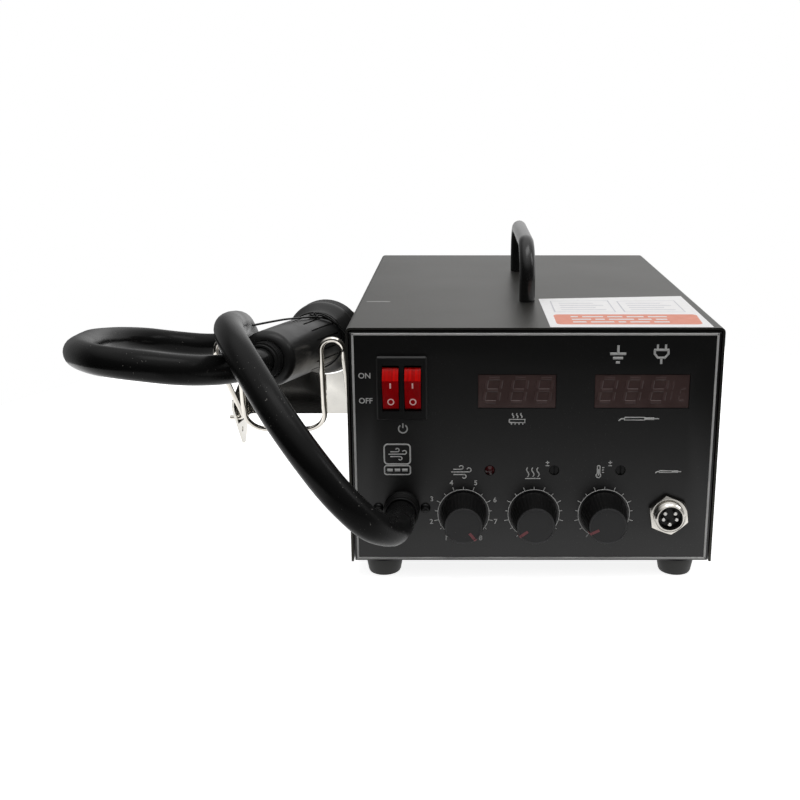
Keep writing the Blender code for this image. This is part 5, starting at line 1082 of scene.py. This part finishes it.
frame_print = on_panel(drawn("panel_border", border_strokes))
scales = [drawn("dial_scales", scale_strokes)]
air_x, air_z = DIAL_CENTRES["air"]
for number, (x, z) in enumerate(NUMERAL_PLACES, 1):
    scales.append(lettered(f"numeral_{number}", str(number), 3.7, air_x + x, air_z + z))
scales.append(lettered("on_mark", "ON", 4.0, -84.9, 100.4))
scales.append(lettered("off_mark", "OFF", 4.0, -84.6, 87.4))
scale_print = on_panel(joined("dial_prints", scales))
for item in (frame_print, scale_print):
    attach(wear(item, ink), "station")
print("printed strokes:", len(border_strokes) + len(scale_strokes))

# %% [markdown]
# ## Signs
# A circle with a bar stands for power, curled lines for air, rising waves for heat and a bulb on a
# stem for temperature. Under the left window is a chip under hot air, under the right one an iron.
# Each sign is drawn once round its own middle, then moved and scaled to its places.


# %% Drawing signs
def moved(strokes, x, y, size=1.0):
    return [([(x + size * a, y + size * b) for a, b in points], width) for points, width in strokes]


def wave(x, low, high, sway):
    """A line that rises in an S."""
    rise = [number / 8 for number in range(9)]
    return [(x + sway * math.sin(2 * math.pi * part), low + (high - low) * part) for part in rise]


def round_frame(x, y, width, height, corner):
    """A rounded rectangle as one closed stroke."""
    points = []
    for side_x, side_y, start in ((1, 1, 0), (1, -1, 90), (-1, -1, 180), (-1, 1, 270)):
        middle_x, middle_y = x + side_x * (width / 2 - corner), y + side_y * (height / 2 - corner)
        points += circle_points(middle_x, middle_y, corner, start, start + 90, 15)
    return points + points[:1]


# %% Signs
POWER_SIGN = [(circle_points(0, 0, 1.9, 35, 325), 0.5), ([(0, 0.3), (0, 2.5)], 0.5)]
AIR_SIGN = [
    ([(-5, 0), (3.2, 0)] + circle_points(3.2, 1.0, 1.0, 170, -70, 20), 0.4),
    ([(-4, 1.3), (-0.4, 1.3)] + circle_points(-0.4, 2.2, 0.9, 170, -70, 20), 0.4),
    ([(-4, -1.3), (1.0, -1.3)] + circle_points(1.0, -2.2, 0.9, 10, 250, 20), 0.4),
]
HEAT_SIGN = [(wave(x, -2.0, 2.6, 0.55), 0.4) for x in (-2.4, 0, 2.4)] + [([(-3.6, -2.9), (3.6, -2.9)], 0.4)]
THERMOMETER = [
    (circle_points(0, -1.9, 1.1, 35, 325, 15), 0.4), ([(-0.6, -1.0), (-0.6, 2.4)], 0.4),
    ([(0.6, -1.0), (0.6, 2.4)], 0.4), (circle_points(0, 2.4, 0.6, -90, 90, 20), 0.4),
    ([(0, -1.9), (0, 1.2)], 0.55), ([(1.6, 2.0), (2.6, 2.0)], 0.35), ([(1.6, 0.8), (2.4, 0.8)], 0.35),
    ([(1.6, -0.4), (2.6, -0.4)], 0.35),
]
ADJUST_SIGN = [([(0, 0), (0, 1.8)], 0.35)] + [([(-0.9, y), (0.9, y)], 0.35) for y in (0.9, -0.8)]
CHIP_SIGN = [
    ([(-3, -1.5), (3, -1.5), (3, -0.2), (-3, -0.2), (-3, -1.5)], 0.45),
    *[([(x, -1.5), (x, -2.3)], 0.45) for x in (-2.2, -0.75, 0.75, 2.2)],
    *[(wave(x, 0.4, 2.3, 0.3), 0.42) for x in (-1.6, 0, 1.6)],
]
IRON_SIGN = [
    ([(-7, 0.55), (1.2, 0.55), (1.2, -0.55), (-7, -0.55), (-7, 0.55)], 0.45), ([(1.2, 0.0), (5.0, 0.0)], 0.9),
    ([(5.0, 0.0), (7.0, 0.0)], 0.4), ([(-7, 0.0), (-8.2, 0.0), (-9.4, -0.9)], 0.45),
]
EARTH_SIGN = [([(0, 4.6), (0, 0.2)], 1.3)]
EARTH_SIGN += [([(-reach, y), (reach, y)], 1.3) for reach, y in ((4.0, 0.2), (2.5, -2.0), (1.0, -4.2))]
PLUG_SIGN = [
    ([(-2.0, 5.0), (-2.0, 2.4)], 1.1), ([(2.0, 5.0), (2.0, 2.4)], 1.1), ([(-3.8, 2.2), (3.8, 2.2)], 1.2),
    ([(-3.4, 2.2), (-3.4, 0.2), (-1.8, -1.8), (1.8, -1.8), (3.4, 0.2), (3.4, 2.2)], 1.2),
    ([(0, -1.8), (0, -5.0)], 1.2),
]
FINE_SIGNS = [
    (POWER_SIGN, -66.1, 72.8, 1.15), (AIR_SIGN, -36.2, 49.6, 1.1), (HEAT_SIGN, 0.0, 49.2, 1.1),
    (THERMOMETER, 33.6, 49.8, 1.1), (ADJUST_SIGN, 7.4, 53.8), (ADJUST_SIGN, 39.4, 53.8),
    (CHIP_SIGN, -8.4, 78.0, 1.3), (IRON_SIGN, 54.5, 78.1, 1.25), (IRON_SIGN, 70.2, 49.8, 0.8),
    (AIR_SIGN, -68.7, 59.2, 1.0),
]
sign_strokes = []
for sign, *spot in FINE_SIGNS:
    sign_strokes += [(points, 1.45 * width) for points, width in moved(sign, *spot)]
sign_strokes += moved(EARTH_SIGN, 41.3, 111.6) + moved(PLUG_SIGN, 62.8, 111.6)
sign_strokes.append((round_frame(-69.2, 59.2, 13.2, 10.6, 1.8), 0.8))
sign_strokes.append((round_frame(-69.2, 50.6, 13.2, 4.8, 1.2), 0.7))
sign_strokes += [([(x - 1.4, 50.6), (x + 1.4, 50.6)], 1.6) for x in (-73.0, -69.2, -65.4)]
sign_print = on_panel(drawn("panel_signs", sign_strokes))
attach(wear(sign_print, ink), "station")
print("sign strokes:", len(sign_strokes))

# %% [markdown]
# ## Unlit digits
# Behind the smoked windows are unlit seven-segment digits, a little paler than the acrylic. Light
# inside glass is slow and noisy to render, so the segments are laid as a film on the window.

# %% Digits
DIGIT_LEAN = 0.16


def digit(x, z, height=14.2, width=7.2, segments="abcdefg", stroke=1.9):
    """Strokes of one slanted seven-segment digit centred at x and z."""
    half_w, half_h, gap = width / 2, height / 2 - stroke / 2, stroke / 2
    corners = {}
    for one, level in (("a", half_h), ("g", 0), ("d", -half_h)):
        corners[one] = ((-half_w + gap, level), (half_w - gap, level))
    for upper, lower, side in (("b", "c", half_w), ("f", "e", -half_w)):
        corners[upper] = ((side, half_h - gap), (side, gap))
        corners[lower] = ((side, -gap), (side, -half_h + gap))
    return [([(x + a + DIGIT_LEAN * b, z + b) for a, b in corners[one]], stroke) for one in segments]


digit_strokes = []
for x in (-20.9, -7.9, 4.9, 36.6, 49.4, 62.2):
    digit_strokes += digit(x, 92.9)
digit_strokes += digit(68.4, 92.9, height=12.0, width=1.2, segments="bc", stroke=0.9)
digit_strokes += digit(74.4, 90.6, height=7.0, width=3.2, segments="adef", stroke=0.9)
film = plain_plastic("digit_film", (0.119, 0.075, 0.071), 0.14, 0.000002)
digits = placed(drawn("unlit_digits", digit_strokes, 0.004), (0, FRONT + 0.00029, 0), PANEL_TURN)
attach(wear(digits, film), "station")

# %% [markdown]
# ## The label on the cover
# A white paper label lies on the cover's front right corner. It is a thin sheet with a real edge,
# and carries a coral band with rows of dashes and two ruled boxes.

# %% Label
LABEL_CORNERS = [(7.5, 1.2), (88.4, 1.2), (88.8, 84.6), (6.9, 76.0)]
BAND_CORNERS = [(11.3, 7.6), (84.5, 7.6), (86.2, 32.5), (11.4, 32.5)]
LABEL_THICKNESS = 0.0001
BAND_DASHES = ((9, 14, 6, 12, 10), (12, 7, 15, 9, 8), (6, 13, 10, 11, 12))


def flat_sheet(name, corners, height, thickness, rounding):
    """A thin plate on the cover. Its corners, in millimetres, go round from the front left one."""
    deselect()
    bpy.ops.mesh.primitive_plane_add(size=1, location=(0, 0, 0))
    item = named(name)
    order = sorted(item.data.vertices, key=lambda vert: (vert.co.y, -vert.co.x * vert.co.y))
    for vert, (x, y) in zip(order, corners):
        vert.co = (x * MM, FRONT + y * MM, height)
    start_edit(item)
    bpy.ops.mesh.bevel(offset=rounding, segments=5, affect="VERTICES")
    bpy.ops.mesh.extrude_region_move(TRANSFORM_OT_translate={"value": (0, 0, thickness)})
    return cleaned(item)


paper = two_tone("label_paper", 400, 3, (0.86, 0.85, 0.85), (0.91, 0.90, 0.90), 0.42)
paper.bump(paper.noise(400, 3), 0.00001, 0.4)
coral = two_tone("coral_ink", 300, 2, (0.73, 0.24, 0.15), (0.78, 0.28, 0.19), 0.45)
pale_ink = plain_plastic("pale_grey_ink", (0.60, 0.60, 0.64), 0.5, 0.000002)
label_top = TOP + LABEL_THICKNESS
label = wear(flat_sheet("cover_label", LABEL_CORNERS, TOP, LABEL_THICKNESS, 0.0006), paper)
band = wear(flat_sheet("label_band", BAND_CORNERS, label_top, 0.00002, 0.003), coral)
rules = []
for left in (13, 50):
    rules += [([(left, 39), (left + 32, 39), (left + 32, 71), (left, 69), (left, 39)], 0.8)]
    for row in range(4):
        y = 45 + 6 * row
        rules.append(([(left + 4, y), (left + 28 - 5 * (row % 2), y)], 1.2))
ruled = wear(placed(drawn("label_rules", rules, 0.02), (0, FRONT, label_top + 0.00001)), pale_ink)
rows = []
for row, dashes in enumerate(BAND_DASHES):
    left, y = 20.0, 13.5 + 6.5 * row
    for dash in dashes:
        rows.append(([(left, y), (left + dash - 2.2, y)], 2.6))
        left += dash
dashed = wear(placed(drawn("band_rules", rows, 0.01), (0, FRONT, label_top + 0.00002)), paper)
for item in (label, band, ruled, dashed):
    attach(item, "station")
print("label:", [round(value * 1000, 1) for value in label.dimensions])

# %% [markdown]
# ## Floor, room and light
# The photograph stands on a plain white ground. The floor is white for the camera and keeps the
# object's shadow. What the pieces mirror of it is set apart: it is dark towards the viewer and
# bright from the box backwards and far to the left, so the front panel rises from black to grey at
# its foot, and the hose and the wires have bright lower edges. The room is bright behind the
# object, where the satin cover mirrors it at a low angle, and overhead. It is darker in front and
# on the left. The room is a network of nodes too, so it is written with the same expressions.

# %% Floor
deselect()
ground = (0, 0.02, float(cad_low[2]))
bpy.ops.mesh.primitive_circle_add(vertices=96, radius=0.45, fill_type="NGON", location=ground)
floor = bpy.context.object
floor.name = "floor"
floor_paint = Finish("white_floor", Roughness=0.9, Emission_Strength=1.0)
seen = floor_paint.node("ShaderNodeLightPath", output="Is Camera Ray")
mirrored = floor_paint.node("ShaderNodeLightPath", output="Is Glossy Ray")
floor_paint.set("Base Color", floor_paint.mix(seen, (0.40, 0.40, 0.40), (0.88, 0.88, 0.88)))
on_floor = floor_paint.place()
near = floor_paint.part(on_floor, 1).span(-0.36, -0.17, 0.0, 0.70)
far_left = floor_paint.part(on_floor, 0).span(-0.170, -0.140, 0.90, 0.0)
glow = seen * 0.86 + mirrored * near.larger(far_left)
floor_paint.set("Emission Color", floor_paint.mix(glow, (0, 0, 0), (1, 1, 1)))
floor.data.materials.append(floor_paint.material)


# %% Room
class Room(Finish):
    """The world's own nodes, in the place of a material's."""

    def __init__(self, name):
        world = bpy.data.worlds.new(name)
        bpy.context.scene.world = world
        world.use_nodes = True
        self.tree = world.node_tree
        self.shader = self.tree.nodes["Background"]


room = Room("room")
direction = room.node("ShaderNodeTexCoord", output="Generated")
depth = room.part(direction, 1).span(-0.15, 0.60, 0.022, 0.84)
side = room.part(direction, 0).span(-0.38, -0.04, 0.28, 1.0)
dome = room.part(direction, 2).span(0.40, 0.85)
brightness = (depth * side).larger(dome)
in_view = room.node("ShaderNodeLightPath", output="Is Camera Ray")
room.set("Color", (1, 1, 1, 1))
room.set("Strength", room.node("ShaderNodeMix", {"data_type": "FLOAT"}, {0: in_view, 2: brightness, 3: 1.0}))


# %% Softboxes
def softbox(name, place, target, width, height, power):
    """A rectangular lamp that points at a target."""
    data = bpy.data.lights.new(name, "AREA")
    data.shape = "RECTANGLE"
    data.size = width
    data.size_y = height
    data.energy = power
    lamp = bpy.data.objects.new(name, data)
    bpy.context.scene.collection.objects.link(lamp)
    lamp.location = place
    lamp.rotation_euler = (Vector(target) - Vector(place)).to_track_quat("-Z", "Y").to_euler()


softbox("top_softbox", (0.10, -0.20, 1.3), (0, 0, 0.05), 0.9, 0.5, 3.4)
softbox("right_softbox", (1.2, -0.1, 0.9), (0, 0, 0.05), 0.4, 0.6, 2.0)

# %% View
bpy.context.scene.view_settings.view_transform = "Standard"
